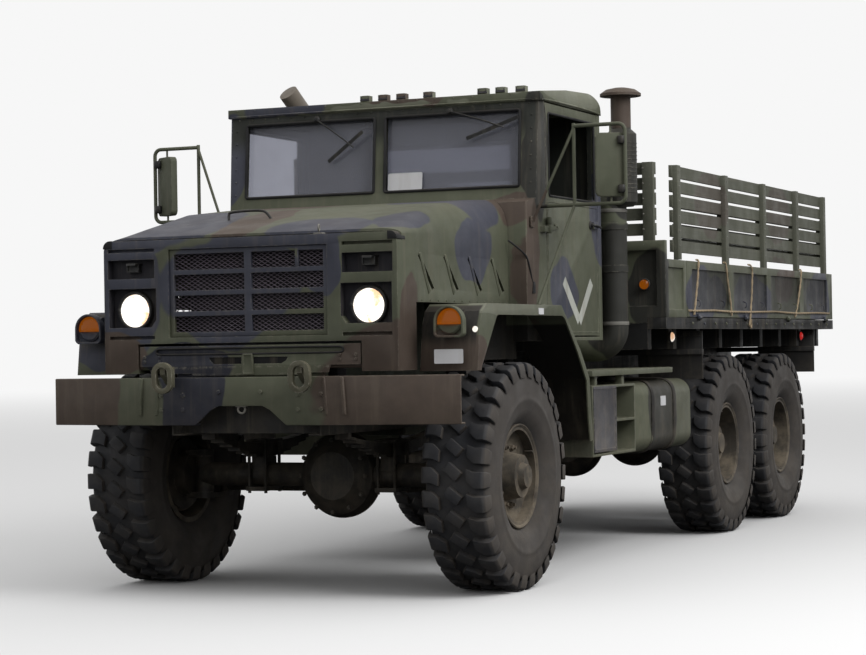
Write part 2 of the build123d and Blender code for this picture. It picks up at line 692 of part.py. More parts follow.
# Cab: a hollow shell with door openings, a two-pane windshield frame and a rear window
pane_x = (32, 868)
pane_z = (2180, 2612)
rear_window_x = 420
rear_window_z = (2190, 2520)
window_front_y = door_front_y + 48
window_rear_y = door_rear_y - 48
window_z = (belt_z + 15, cab_top_z - 58)
cowl_top_z = 2085
hinge_radius = 14
hinge_y = door_front_y - 2
hinge_x = cab_half_width + hinge_radius + 6
hinge_z = (1450, 1960)
hinge_height = 90


def windshield_y(z, inset):
    """Where the raked windshield frame's face lies at a height, set in by a wall."""
    return cab_front_y + inset + windshield_rake * (z - belt_z) / (cab_top_z - belt_z)


def cab_form(inset, top_extra=0):
    """The cab's outer form set in by a wall, cut square at the top unless it is taken higher."""
    foot_z, head_z = belt_z - inset / 2, cab_top_z + top_extra
    with BuildPart() as form:
        with BuildSketch(Plane.YZ):
            with BuildLine():
                Polyline((cowl_front_y + inset, cab_floor_z + inset),
                         (cowl_front_y + inset, cowl_top_z - inset),
                         (windshield_y(foot_z, inset), foot_z), (windshield_y(head_z, inset), head_z),
                         (cab_rear_y - inset, head_z),
                         (cab_rear_y - inset, cab_floor_z + inset), close=True)
            make_face()
        extrude(amount=cab_half_width + 10, both=True)
        with BuildSketch(Plane.XY):
            with BuildLine():
                Polyline(*cab_plan(inset), close=True)
            make_face()
        extrude(amount=2 * cab_top_z, mode=Mode.INTERSECT)
    return form.part


cab_outside = cab_form(0)
cab_inside = cab_form(cab_wall, 10)
with BuildPart() as cab_shell:
    add(cab_outside)
    add(cab_inside, mode=Mode.SUBTRACT)
    for side in left_right:
        side_plate([(door_front_y, door_bottom_z), (door_front_y, cab_top_z + 1),
                    (door_rear_y, cab_top_z + 1), (door_rear_y, door_bottom_z)],
                   *sorted((side * (cab_half_width + 1), side * (cab_half_width - 120))),
                   mode=Mode.SUBTRACT)
        panes = sorted((side * pane_x[0], side * pane_x[1]))
        block(panes, (cab_front_y - 20, cab_front_y + 120), pane_z, mode=Mode.SUBTRACT)
        for z in hinge_z:
            rod((side * hinge_x, hinge_y, z - hinge_height / 2), (side * hinge_x, hinge_y, z), hinge_radius)
            block(sorted((side * (cab_half_width - 15), side * hinge_x)), (hinge_y - 70, hinge_y),
                  (z - hinge_height / 2 + 6, z - 6))
    block((-rear_window_x, rear_window_x), (cab_rear_y - 60, cab_rear_y + 10), rear_window_z,
          mode=Mode.SUBTRACT)
save(cab_shell, "cab_shell")

# Windshield panes and the rear window, set against the inside of their frames
glass_wall = 6
glass_lap = 14
with BuildPart() as cab_glass:
    for side in left_right:
        panes = sorted((side * (pane_x[0] + 4), side * (pane_x[1] + glass_lap)))
        low, high = pane_z[0] - glass_lap, pane_z[1] + glass_lap
        face_low = windshield_y(low, cab_wall) + seat_gap
        face_high = windshield_y(high, cab_wall) + seat_gap
        side_plate([(face_low, low), (face_high, high), (face_high + glass_wall, high),
                    (face_low + glass_wall, low)], *panes)
    block((-rear_window_x - glass_lap, rear_window_x + glass_lap),
          (cab_rear_y - cab_wall - glass_wall - seat_gap, cab_rear_y - cab_wall - seat_gap),
          (rear_window_z[0] - glass_lap, rear_window_z[1] + glass_lap))
save(cab_glass, "cab_glass")

# Hard roof: a pan that rises to the rear, on the windshield frame, the door heads and the rear wall
roof_front_y = cab_front_y + windshield_rake - 12
roof_rear_y = cab_rear_y + 12
roof_half_width = cab_half_width + 6
roof_wall = 18
roof_edge = 50
roof_middle = (front_axle_y + 1200, 2756)
roof_top_z = 2777
roof_round = (150, 110)                 # the rear upper corner, along and up
roof_shoulder = (70, 100)               # the side upper corners, across and up
roof_corner = 90
roof_lamps_x = (-107, 8, 123, 293, 629, 739, 861)
with BuildPart() as cab_roof:
    with BuildSketch(Plane.YZ.offset(-roof_half_width - 10)) as roof_side:
        with BuildLine():
            Polyline((roof_rear_y, roof_top_z - roof_round[1]), (roof_rear_y, cab_top_z),
                     (roof_front_y, cab_top_z), (roof_front_y, cab_top_z + roof_edge), roof_middle,
                     (roof_rear_y - roof_round[0], roof_top_z))
            EllipticalCenterArc((roof_rear_y - roof_round[0], roof_top_z - roof_round[1]), *roof_round, 0)
        make_face()
    extrude(roof_side.sketch, amount=2 * roof_half_width + 20)
    with BuildSketch(Plane.XZ.offset(-roof_rear_y - 1)) as across:
        with BuildLine():
            shoulder_x, shoulder_z = roof_half_width - roof_shoulder[0], roof_top_z + 20 - roof_shoulder[1]
            Polyline((-roof_half_width, shoulder_z), (-roof_half_width, cab_top_z - 1),
                     (roof_half_width, cab_top_z - 1), (roof_half_width, shoulder_z))
            EllipticalCenterArc((shoulder_x, shoulder_z), *roof_shoulder, 0)
            Line((shoulder_x, roof_top_z + 20), (-shoulder_x, roof_top_z + 20))
            EllipticalCenterArc((-shoulder_x, shoulder_z), *roof_shoulder, 90)
        make_face()
    extrude(across.sketch, amount=roof_rear_y - roof_front_y + 2, mode=Mode.INTERSECT)
    with BuildSketch(Plane.XY.offset(cab_top_z)) as pan:
        with Locations((0, (roof_front_y + roof_rear_y) / 2)):
            Rectangle(2 * (roof_half_width - cab_wall - 40), roof_rear_y - roof_front_y - 2 * cab_wall - 40)
        fillet(pan.vertices(), radius=roof_corner / 2)
    extrude(pan.sketch, amount=roof_edge - roof_wall + 6, mode=Mode.SUBTRACT)
    for x in roof_lamps_x:
        block((x - 30, x + 30), (roof_front_y + 30, roof_front_y + 72),
              (cab_top_z + roof_edge, cab_top_z + 88))
save(cab_roof, "cab_roof")

# Doors: the same form as the shell, with the window cut and a pressed handle
handle_z = 1990
with BuildPart() as door_left:
    add(cab_outside)
    add(cab_form(door_wall, 10), mode=Mode.SUBTRACT)
    front, rear = door_front_y + door_gap, door_rear_y - door_gap
    low, high = door_bottom_z + door_gap, cab_top_z - door_gap
    side_plate([(front, low), (front, high), (rear, high), (rear, low)], cab_half_width - 120,
               cab_half_width + 1, mode=Mode.INTERSECT)
    with BuildSketch(Plane.YZ.offset(cab_half_width - 130)) as opening:
        with Locations(((window_front_y + window_rear_y) / 2, sum(window_z) / 2)):
            RectangleRounded(window_rear_y - window_front_y, window_z[1] - window_z[0], 45)
    extrude(opening.sketch, amount=400, mode=Mode.SUBTRACT)
    for z in hinge_z:
        rod((hinge_x, hinge_y, z + pin_clearance), (hinge_x, hinge_y, z + hinge_height / 2), hinge_radius)
        block((cab_half_width + 3, hinge_x), (hinge_y, hinge_y + 70), (z + 6, z + hinge_height / 2 - 6))
        block((cab_half_width - 5, cab_half_width + 4), (door_front_y + door_gap, hinge_y + 70),
              (z + 6, z + hinge_height / 2 - 6))
    block((cab_half_width - 5, cab_half_width + 22), (door_rear_y - 130, door_rear_y - 50),
          (handle_z - 20, handle_z + 20))
save(door_left, "door_left")
with BuildPart() as door_right:
    mirror(door_left.part, about=Plane.YZ)
save(door_right, "door_right")

# Seats: a cushion and a backrest on a plain frame for the driver, and a bench beside it
seat_z = 1650
seat_rear_y = cab_rear_y - cab_wall - 15
seat_x = ((230, 760), (-820, 60))
with BuildPart() as cab_seats:
    for span in seat_x:
        block(span, (seat_rear_y - 480, seat_rear_y - 90), (seat_z, seat_z + 110))
        block((span[0] + 30, span[1] - 30), (seat_rear_y - 440, seat_rear_y - 110),
              (cab_floor_z + cab_wall, seat_z))
        block(span, (seat_rear_y - 110, seat_rear_y), (seat_z + 60, seat_z + 500))
save(cab_seats, "cab_seats")

# Dashboard along the cowl, with the steering column and wheel on the left
dash_depth = 190
dash_half_width = cowl_half_width - door_wall
dash_z = (1830, 2050)
wheel_centre = (480, cab_front_y + 400, 2020)
wheel_ring = (235, 14)
column_foot = (480, cab_front_y - 40, 1545)
with BuildPart() as dashboard:
    dash_front_y = cowl_front_y + cab_wall + seat_gap
    side_plate([(dash_front_y, dash_z[0] + 30), (dash_front_y, cowl_top_z - 2 * cab_wall),
                (cab_front_y, dash_z[1] - 5), (cab_front_y + dash_depth - 50, dash_z[1] - 20),
                (cab_front_y + dash_depth, dash_z[0] + 60), (cab_front_y + dash_depth - 30, dash_z[0])],
               -dash_half_width, dash_half_width)
    block((wheel_centre[0] - 35, wheel_centre[0] + 35), (cab_front_y + dash_depth - 60, cab_front_y + 270),
          (dash_z[0] - 10, dash_z[0] + 40))
    column = Vector(*wheel_centre) - Vector(*column_foot)
    rod(column_foot, wheel_centre, 26)
    wheel_face = Plane(origin=wheel_centre, x_dir=(1, 0, 0), z_dir=column)
    with BuildSketch(Plane(origin=wheel_centre, x_dir=(1, 0, 0), z_dir=wheel_face.y_dir)) as rim_section:
        with Locations((wheel_ring[0], 0)):
            Circle(wheel_ring[1])
    revolve(rim_section.sketch, axis=Axis(wheel_centre, column))
    for spoke in range(4):
        angle = radians(45 + 90 * spoke)
        end = (wheel_face.origin + wheel_face.x_dir * (cos(angle) * wheel_ring[0])
               + wheel_face.y_dir * (sin(angle) * wheel_ring[0]))
        rod(wheel_centre, end, 10)
save(dashboard, "dashboard")

# Hood: a crowned shell with the thick nose panel that holds the mesh and the lamps.
# Each section has its place along the truck, its side seam, its crown and its shoulder's width.
nose_rear_y = hood_front_y + nose_depth
nose_top_z = 1865
nose_corner = 55
cheek_rear_y = front_axle_y - 672       # the side sheets that reach down beside the nose
hood_sections = (
    (nose_rear_y - 10, 1855, 1885, 125),
    (front_axle_y - 600, 1862, 1945, 130),
    (front_axle_y - 200, 1873, 2035, 130),
    (front_axle_y + 300, 1888, 2085, 120),
    (hood_rear_y, 1900, 2100, 105))
louvre_pitch = 323
louvre_count = 4
louvre_length = 250
louvre_width = 26
first_louvre_y = front_axle_y - 555
louvre_z = 1663


def hood_section(y, seam_z, crown_z, shoulder, inset):
    """The arch across the hood at one place along it, set in by a wall."""
    half = hood_half_width - inset
    flat = half - shoulder + inset / 2
    seam, crown = seam_z - inset / 2, crown_z - inset
    with BuildSketch(Plane.XZ.offset(-y)) as section:
        with BuildLine():
            Line((-half, hood_bottom_z - inset), (-half, seam))
            EllipticalCenterArc((-flat, seam), half - flat, crown - seam, 90)
            Line((-flat, crown), (flat, crown))
            EllipticalCenterArc((flat, seam), half - flat, crown - seam, 0)
            Line((half, seam), (half, hood_bottom_z - inset))
            Line((half, hood_bottom_z - inset), (-half, hood_bottom_z - inset))
        make_face()
    return section.sketch


lamp_box = [(532, 1452), (562, 1412), (815, 1412), (815, 1615), (532, 1615)]
marker_box = [(541, 1667), (541, 1766), (821, 1766), (821, 1667)]
slot_boxes = ((541, 821, 1805, 1822), (541, 815, 1350, 1368))
pocket_depth = 52
with BuildPart() as hood:
    loft([hood_section(*section, 0) for section in hood_sections], ruled=True)
    inner = [hood_section(*section, hood_wall) for section in hood_sections[1:-1]]
    first, last = hood_sections[0], hood_sections[-1]
    inner.insert(0, hood_section(first[0] - 10, *first[1:], hood_wall))
    inner.append(hood_section(last[0] + 10, *last[1:], hood_wall))
    loft(inner, ruled=True, mode=Mode.SUBTRACT)
    with BuildSketch(Plane.XZ.offset(-nose_rear_y)) as face:
        with BuildLine():
            corner_x, corner_z = hood_half_width - nose_corner, nose_top_z - nose_corner
            Polyline((-hood_half_width, corner_z), (-hood_half_width, lamp_box_bottom_z),
                     (-lamp_box_inner_x, lamp_box_bottom_z), (-lamp_box_inner_x, nose_bottom_z),
                     (lamp_box_inner_x, nose_bottom_z), (lamp_box_inner_x, lamp_box_bottom_z),
                     (hood_half_width, lamp_box_bottom_z), (hood_half_width, corner_z))
            EllipticalCenterArc((corner_x, corner_z), nose_corner, nose_corner, 0)
            Line((corner_x, nose_top_z), (-corner_x, nose_top_z))
            EllipticalCenterArc((-corner_x, corner_z), nose_corner, nose_corner, 90)
        make_face()
    extrude(face.sketch, amount=nose_depth)
    block((-mesh_half_width, mesh_half_width), (hood_front_y - 1, nose_rear_y + 1),
          (mesh_bottom_z, mesh_top_z), mode=Mode.SUBTRACT)
    for side in left_right:
        block(sorted((side * (hood_half_width - hood_wall), side * hood_half_width)),
              (nose_rear_y - 5, cheek_rear_y), (lamp_box_bottom_z, hood_bottom_z + 20))
        for box in (lamp_box, marker_box):
            front_plate([(side * x, z) for x, z in box], hood_front_y - 1, hood_front_y + pocket_depth,
                        mode=Mode.SUBTRACT)
        for low_x, high_x, low_z, high_z in slot_boxes:
            block(sorted((side * low_x, side * high_x)), (hood_front_y - 1, hood_front_y + 30),
                  (low_z, high_z), mode=Mode.SUBTRACT)
        for louvre in range(louvre_count):
            y = first_louvre_y + louvre * louvre_pitch
            lean = 0.35 * louvre_length
            side_plate([(y - lean, louvre_z + lean), (y + lean, louvre_z - lean),
                        (y + lean + louvre_width, louvre_z - lean + 12), (y - lean + louvre_width,
                        louvre_z + lean + 12)],
                       *sorted((side * (hood_half_width - 2 * hood_wall), side * (hood_half_width + 5))),
                       mode=Mode.SUBTRACT)
        rod((side * (lamp_box_inner_x - 1), hood_pivot_y, hood_pivot_z),
            (side * (hinge_pin_reach + 1), hood_pivot_y, hood_pivot_z),
            hinge_pin_radius + pin_clearance, mode=Mode.SUBTRACT)
save(hood, "hood")

# Grille: a framed grid of two columns and four rows, with wires between the bars
grille_bar = 26
grille_middle_bar = 40
grille_rows = 4
grille_depth = 20
grille_gap = 0.3
with BuildPart() as grille:
    half = mesh_half_width - grille_gap
    low, high = mesh_bottom_z + grille_gap, mesh_top_z - grille_gap
    front = hood_front_y + 12
    row_height = (high - low - grille_bar) / grille_rows
    block((-half, half), (front, front + grille_depth), (low, high))
    for side in left_right:
        for row in range(grille_rows):
            columns = sorted((side * grille_middle_bar / 2, side * (half - grille_bar)))
            block(columns, (front - 1, front + grille_depth + 1),
                  (low + grille_bar + row * row_height, low + (row + 1) * row_height), mode=Mode.SUBTRACT)
save(grille, "grille")

# Headlamps and the small marker lamps, seated in their pockets
marker_lamp_radius = 34
with BuildPart() as headlamps:
    for side in left_right:
        back = hood_front_y + pocket_depth
        turned([(0, 0), (0, lamp_radius - 8), (22, lamp_radius), (32, lamp_radius), (44, lamp_radius * 0.6),
                (48, 20), (48, 0)],
               Plane(origin=(side * lamp_x, back, lamp_z), x_dir=(0, -1, 0), z_dir=(0, 0, 1)))
        turned([(0, 0), (0, marker_lamp_radius), (34, marker_lamp_radius), (42, 20), (42, 0)],
               Plane(origin=(side * lamp_x, back, (marker_box[0][1] + marker_box[1][1]) / 2),
                     x_dir=(0, -1, 0), z_dir=(0, 0, 1)))
save(headlamps, "headlamps")

# Mirrors: a tube loop with two struts on each side, and a tall head turned towards the driver
mirror_x = (1190, 1500)
mirror_y = front_axle_y + 735
mirror_z = (2062, 2500)
mirror_tube = 11
mirror_bend = 40
mirror_head = (172, 352, 40)            # width, height and depth
mirror_head_x = 1405
mirror_head_z = 2275
mirror_turn = {1: 24, -1: 32}           # degrees, on the driver's side and on the other
mirror_foot = (1050, front_axle_y + 510)
cowl_foot = (cab_front_y - 60, 1975)
with BuildPart() as mirrors:
    for side in left_right:
        inner, outer = side * mirror_x[0], side * (mirror_x[1] - mirror_tube)
        cab_side = side * (cab_side_x(cowl_foot[0]) + 4)
        tube([(side * (cab_side_x(mirror_y + mirror_tube) + seat_gap), mirror_y, mirror_z[0]),
              (outer, mirror_y, mirror_z[0]),
              (outer, mirror_y, mirror_z[1]), (inner, mirror_y, mirror_z[1])], mirror_tube, mirror_bend)
        rod((inner, mirror_y, mirror_z[0]), (inner, mirror_y, mirror_z[1] + mirror_tube + 4), mirror_tube - 1)
        foot_x, foot_y = side * mirror_foot[0], mirror_foot[1]
        block((foot_x - 30, foot_x + 30), (foot_y - 30, foot_y + 30),
              (fender_top_z + seat_gap, fender_top_z + 8))
        rod((foot_x, foot_y, fender_top_z + 4), (inner, mirror_y, mirror_z[0]), mirror_tube - 3)
        rod((cab_side + side * 9, *cowl_foot), (inner, mirror_y, mirror_z[1] - 12), mirror_tube - 3)
        block(sorted((cab_side, cab_side + side * 8)), (cowl_foot[0] - 22, cowl_foot[0] + 22),
              (cowl_foot[1] - 30, cowl_foot[1] + 30))
        width, height, depth = mirror_head
        facing = Plane(origin=(side * mirror_head_x, mirror_y, mirror_head_z), x_dir=(0, 0, 1),
                       z_dir=(-side * sin(radians(mirror_turn[side])), cos(radians(mirror_turn[side])), 0))
        with BuildSketch(facing.offset(-depth / 2)) as head:
            RectangleRounded(height, width, 32)
        extrude(head.sketch, amount=depth)
        rod((side * mirror_head_x, mirror_y, mirror_z[0]), (side * mirror_head_x, mirror_y, mirror_z[1]),
            mirror_tube - 5)
save(mirrors, "mirrors")

# Air intake on the left behind the cab, and the exhaust on the right
stack_y = front_axle_y + 1980
intake_x = 1043
intake_pipe_x = 985
intake_foot_z = 1180
stack_arm_z = (rail_top - 34, rail_top - 2)


def stack_bracket(x):
    """An arm from the rail and a foot under the stack."""
    side = 1 if x > 0 else -1
    block(sorted((side * rail_outside, x + side * 50)), (stack_y - 45, stack_y + 45), stack_arm_z)
    block((x - 50, x + 50), (stack_y - 45, stack_y + 45), (stack_arm_z[0], intake_foot_z + 2))


intake_straps_z = (1743, 2000)
with BuildPart() as air_intake:
    turned([(2120, 0), (2120, 70), (2145, 93), (2560, 93), (2590, 61), (2788, 61), (2790, 125), (2806, 125),
            (2830, 90), (2841, 40), (2843, 0)],
           Plane(origin=(intake_x, stack_y, 0), x_dir=(0, 0, 1), z_dir=(0, 1, 0)))
    tube([(intake_pipe_x, stack_y, 2130), (intake_pipe_x, stack_y, 1262), (560, stack_y, 1262)], 81, 120)
    for z in intake_straps_z:
        block((intake_pipe_x - 110, intake_pipe_x - 60), (cab_rear_y + seat_gap, stack_y + 20), (z - 20, z + 20))
        with Locations((intake_pipe_x, stack_y, z)):
            Cylinder(86, 40)
save(air_intake, "air_intake")

exhaust_x = -1085
exhaust_pipe = 62
muffler_height = 640
muffler_radius = 125
exhaust_bend_z = 2760
with BuildPart() as exhaust_stack:
    turned([(0, 0), (0, muffler_radius - 20), (40, muffler_radius), (muffler_height, muffler_radius),
            (muffler_height + 40, exhaust_pipe), (muffler_height + 60, exhaust_pipe),
            (muffler_height + 60, 0)],
           Plane(origin=(exhaust_x, stack_y, intake_foot_z), x_dir=(0, 0, 1), z_dir=(0, 1, 0)))
    tube([(exhaust_x, stack_y, intake_foot_z + muffler_height + 50), (exhaust_x, stack_y, exhaust_bend_z),
          (exhaust_x - 60, stack_y - 150, exhaust_bend_z + 170)], exhaust_pipe, 100)
    stack_bracket(exhaust_x)
save(exhaust_stack, "exhaust_stack")

# Spare wheel upright behind the cab, on a carrier that stands on the rails
spare_x = -300
spare_y = front_axle_y + 1972
spare_z = 1735
spare_plane = Plane(origin=(spare_x, spare_y, spare_z), x_dir=(0, -1, 0), z_dir=(0, 0, 1))
with BuildPart() as spare_tyre:
    add(tyre_form.moved(spare_plane.location))
save(spare_tyre, "spare_tyre")
with BuildPart() as spare_rim:
    turned([(-60, 0), (-60, 40), (-58, 120), (-62, barrel_in), (-half_rim, barrel_in),
            (-half_rim, bead_radius + lip_height), (-half_rim + lip_wall, bead_radius + lip_height),
            (-half_rim + lip_wall, bead_radius), (half_rim - lip_wall, bead_radius),
            (half_rim - lip_wall, bead_radius + lip_height), (half_rim, bead_radius + lip_height),
            (half_rim, barrel_in), (-46, barrel_in), (-44, 120), (-44, 0)], spare_plane)
save(spare_rim, "spare_rim")
carrier_post_y = (spare_y + half_tyre + 4, bed_front_y - 6)
with BuildPart() as spare_carrier:
    for offset in left_right:
        x = spare_x + offset * 110
        block((x - 25, x + 25), carrier_post_y, (rail_top, spare_z + 60))
    block((-rail_outside, rail_outside), (spare_y - 150, carrier_post_y[1]), (rail_top, rail_top + 30))
    block((spare_x - 135, spare_x + 135), carrier_post_y, (spare_z - 60, spare_z + 60))
    rod((spare_x, carrier_post_y[0] + 1, spare_z), (spare_x, spare_y + 60, spare_z), 60)
save(spare_carrier, "spare_carrier")

# Left side: open-fronted battery box under a tread plate, and the round-edged fuel tank
side_box_inner_x = 470
battery_y = (front_axle_y + 1040, front_axle_y + 1795)
battery_z = (645, 1050)
step_plate_y = (front_axle_y + 1050, front_axle_y + 2540)
step_plate_z = (1104, 1136)
battery_outer_x = 1165
battery_wall = 14
with BuildPart() as battery_box:
    block((side_box_inner_x, battery_outer_x), battery_y, battery_z)
    block((side_box_inner_x + 280, battery_outer_x + 1),
          (battery_y[0] + battery_wall, battery_y[1] - battery_wall),
          (battery_z[0] + battery_wall, battery_z[1] - battery_wall), mode=Mode.SUBTRACT)
    block((side_box_inner_x + 300, battery_outer_x),
          (battery_y[0] + 10, battery_y[1] - 10), (battery_z[0] + 190, battery_z[0] + 204))
    for y in (battery_y[0] + 100, battery_y[1] - 180):
        block((rail_outside, side_box_inner_x), (y, y + 80), (battery_z[1] - 160, battery_z[1] - 20))
    block((side_box_inner_x + 240, battery_outer_x), step_plate_y, step_plate_z)
    block((side_box_inner_x + 241, battery_outer_x - 8), (step_plate_y[0] + 8, step_plate_y[1] - 8),
          (step_plate_z[0] - 1, step_plate_z[1] - 6), mode=Mode.SUBTRACT)
    for y in (battery_y[0] + 100, battery_y[1] - 180):
        for x in (side_box_inner_x + 260, battery_outer_x - 60):
            block((x, x + 40), (y, y + 40), (battery_z[1] - 1, step_plate_z[1] - 5))
save(battery_box, "battery_box")

tank_y = (front_axle_y + 1806, front_axle_y + 2950)
tank_straps_y = (front_axle_y + 2169, front_axle_y + 2601)
tank_z = (625, 1060)
tank_outer_x = 1150
tank_corner = 95
strap_wall = 5
strap_width = 45
with BuildPart() as fuel_tank:
    with BuildSketch(Plane.XZ.offset(-tank_y[1])) as end:
        with Locations(((side_box_inner_x + 20 + tank_outer_x) / 2, sum(tank_z) / 2)):
            RectangleRounded(tank_outer_x - side_box_inner_x - 20, tank_z[1] - tank_z[0], tank_corner)
    extrude(end.sketch, amount=tank_y[1] - tank_y[0])
    for y in tank_straps_y:
        with BuildSketch(Plane.XZ.offset(-y - strap_width / 2)) as strap:
            with Locations(((side_box_inner_x + 20 + tank_outer_x) / 2, sum(tank_z) / 2)):
                RectangleRounded(tank_outer_x - side_box_inner_x - 20 + 2 * strap_wall,
                                 tank_z[1] - tank_z[0] + 2 * strap_wall, tank_corner + strap_wall)
        extrude(strap.sketch, amount=strap_width)
        block((rail_outside, side_box_inner_x + 40), (y - strap_width, y + strap_width),
              (tank_z[1] - 190, tank_z[1] - 50))
save(fuel_tank, "fuel_tank")

# Right side: tool box and two air reservoirs
tool_y = (front_axle_y + 1180, front_axle_y + 1980)
with BuildPart() as tool_box:
    block((-battery_outer_x, -side_box_inner_x), tool_y, battery_z)
    fillet(tool_box.edges().filter_by(Axis.Z).group_by(Axis.X)[0], radius=25)
    for y in (tool_y[0] + 100, tool_y[1] - 180):
        block((-side_box_inner_x, -rail_outside), (y, y + 80), (battery_z[1] - 160, battery_z[1] - 20))
save(tool_box, "tool_box")
reservoir_radius = 125
reservoir_y = (front_axle_y + 2120, front_axle_y + 2880)
reservoirs = ((-640, 930), (-900, 930))
with BuildPart() as air_reservoirs:
    for x, z in reservoirs:
        turned([(0, 0), (15, reservoir_radius * 0.7), (55, reservoir_radius),
                (reservoir_y[1] - reservoir_y[0] - 55, reservoir_radius),
                (reservoir_y[1] - reservoir_y[0] - 15, reservoir_radius * 0.7),
                (reservoir_y[1] - reservoir_y[0], 0)],
               Plane(origin=(x, reservoir_y[0], z), x_dir=(0, 1, 0), z_dir=(0, 0, 1)))
    for y in (reservoir_y[0] + 160, reservoir_y[1] - 200):
        block((-980, -rail_outside), (y, y + 40), (1030, 1060))
        block((-rail_outside - 12, -rail_outside), (y, y + 40), (930, 1060))
save(air_reservoirs, "air_reservoirs")

# Bed floor: two long sills on the rails, cross beams, side sills and the deck
front_wall = 40
bed_sill_x = (350, 430)
bed_sill_top_z = 1250
beam_depth = 70
beam_count = 9
deck_half_width = bed_half_width - sill_width
deck_front_y = bed_front_y + front_wall + seat_gap
eye_radius = 10
gate_hinge_x = bed_half_width + eye_radius + 6
gate_hinge_z = (sill_top_z + gate_bottom_z) / 2
eye_half = 30
gate_rear_y = bed_rear_y - gate_wall - gate_clearance
gate_front_y = bed_front_y + corner_length + gate_clearance
side_hinges_y = [gate_front_y + share * (gate_rear_y - gate_front_y) for share in (0.06, 0.35, 0.65, 0.94)]
tail_hinge_y = bed_rear_y + eye_radius + 6
tail_hinges_x = (-950, -320, 320, 950)


def hinge_eye(centre, across, along, arm_low, arm_high):
    """A hinge eye along one axis, with an arm back to the piece that carries it."""
    half = Vector(*along) * eye_half / 2
    middle = Vector(*centre)
    rod(tuple(middle - half), tuple(middle + half), eye_radius)
    reach = Vector(*across) * (eye_radius + 12)
    low = middle - half + Vector(0, 0, arm_low)
    high = middle + half - reach + Vector(0, 0, arm_high)
    block(*[sorted(pair) for pair in zip(tuple(low), tuple(high))])


with BuildPart() as bed_floor:
    for side in left_right:
        block(sorted((side * bed_sill_x[0], side * bed_sill_x[1])), (bed_front_y + 20, bed_rear_y - 60),
              (rail_top, bed_sill_top_z))
        block(sorted((side * deck_half_width, side * bed_half_width)), (bed_front_y, bed_rear_y),
              (sill_bottom_z, sill_top_z))
    for beam in range(beam_count):
        y = bed_front_y + beam_depth / 2 + beam * (bed_rear_y - bed_front_y - 155) / (beam_count - 1)
        block((-deck_half_width - 1, deck_half_width + 1), (y - beam_depth / 2, y + beam_depth / 2),
              (bed_sill_top_z, deck_top_z - deck_wall))
    block((-deck_half_width, deck_half_width), (deck_front_y, bed_rear_y - gate_wall - 2 * gate_clearance),
          (deck_top_z - deck_wall, deck_top_z))
    block((-deck_half_width, deck_half_width), (bed_rear_y - 100, bed_rear_y), (sill_bottom_z, sill_top_z))
    for side in left_right:
        for y in side_hinges_y:
            hinge_eye((side * gate_hinge_x, y + eye_half / 2 + 0.3, gate_hinge_z), (side, 0, 0), (0, 1, 0),
                      -22, -8)
    for x in tail_hinges_x:
        hinge_eye((x + eye_half / 2 + 0.3, tail_hinge_y, gate_hinge_z), (0, 1, 0), (1, 0, 0), -22, -8)
save(bed_floor, "bed_floor")

# Front wall of the bed with its short fixed sides, its foot between the side sills on a cross beam
corner_rib = 60
with BuildPart() as bed_front_wall:
    block((-bed_half_width, bed_half_width), (bed_front_y, bed_front_y + front_wall),
          (sill_top_z, front_wall_top_z))
    block((-deck_half_width + seat_gap, deck_half_width - seat_gap), (bed_front_y, bed_front_y + front_wall),
          (deck_top_z - deck_wall, sill_top_z))
    block((-bed_half_width + corner_rib, bed_half_width - corner_rib),
          (bed_front_y - 1, bed_front_y + front_wall - 12),
          (deck_top_z + corner_rib, front_wall_top_z - corner_rib), mode=Mode.SUBTRACT)
    for side in left_right:
        inner, outer = side * (bed_half_width - gate_wall), side * bed_half_width
        block(sorted((inner, outer)), (bed_front_y, bed_front_y + corner_length), (sill_top_z, gate_top_z))
        pocket = sorted((side * (bed_half_width - 16), side * (bed_half_width + 1)))
        block(pocket, (bed_front_y + corner_rib, bed_front_y + corner_length - corner_rib),
              (sill_top_z + gate_rail, gate_top_z - gate_rail), mode=Mode.SUBTRACT)
    for x in (-760, -380, 0, 380, 760):
        block((x - 30, x + 30), (bed_front_y + 2, bed_front_y + front_wall),
              (deck_top_z + 10, front_wall_top_z - 10))
save(bed_front_wall, "bed_front_wall")

# Racks: upright stakes with six slats across them, on the front wall and on each side gate
front_stakes_x = (-bed_half_width + 108, -390, 390, bed_half_width - 108)
with BuildPart() as front_rack:
    for x in front_stakes_x:
        block((x - stake_width / 2, x + stake_width / 2), (bed_front_y + 4, bed_front_y + 4 + stake_depth),
              (front_wall_top_z, rack_top_z))
    for slat in range(rack_slats - 1):
        low = rack_top_z - slat * rack_pitch - rack_slat
        block((-bed_half_width + 70, bed_half_width - 70),
              (bed_front_y + 4 + stake_depth, bed_front_y + 4 + stake_depth + slat_wall),
              (low, low + rack_slat))
save(front_rack, "front_rack")

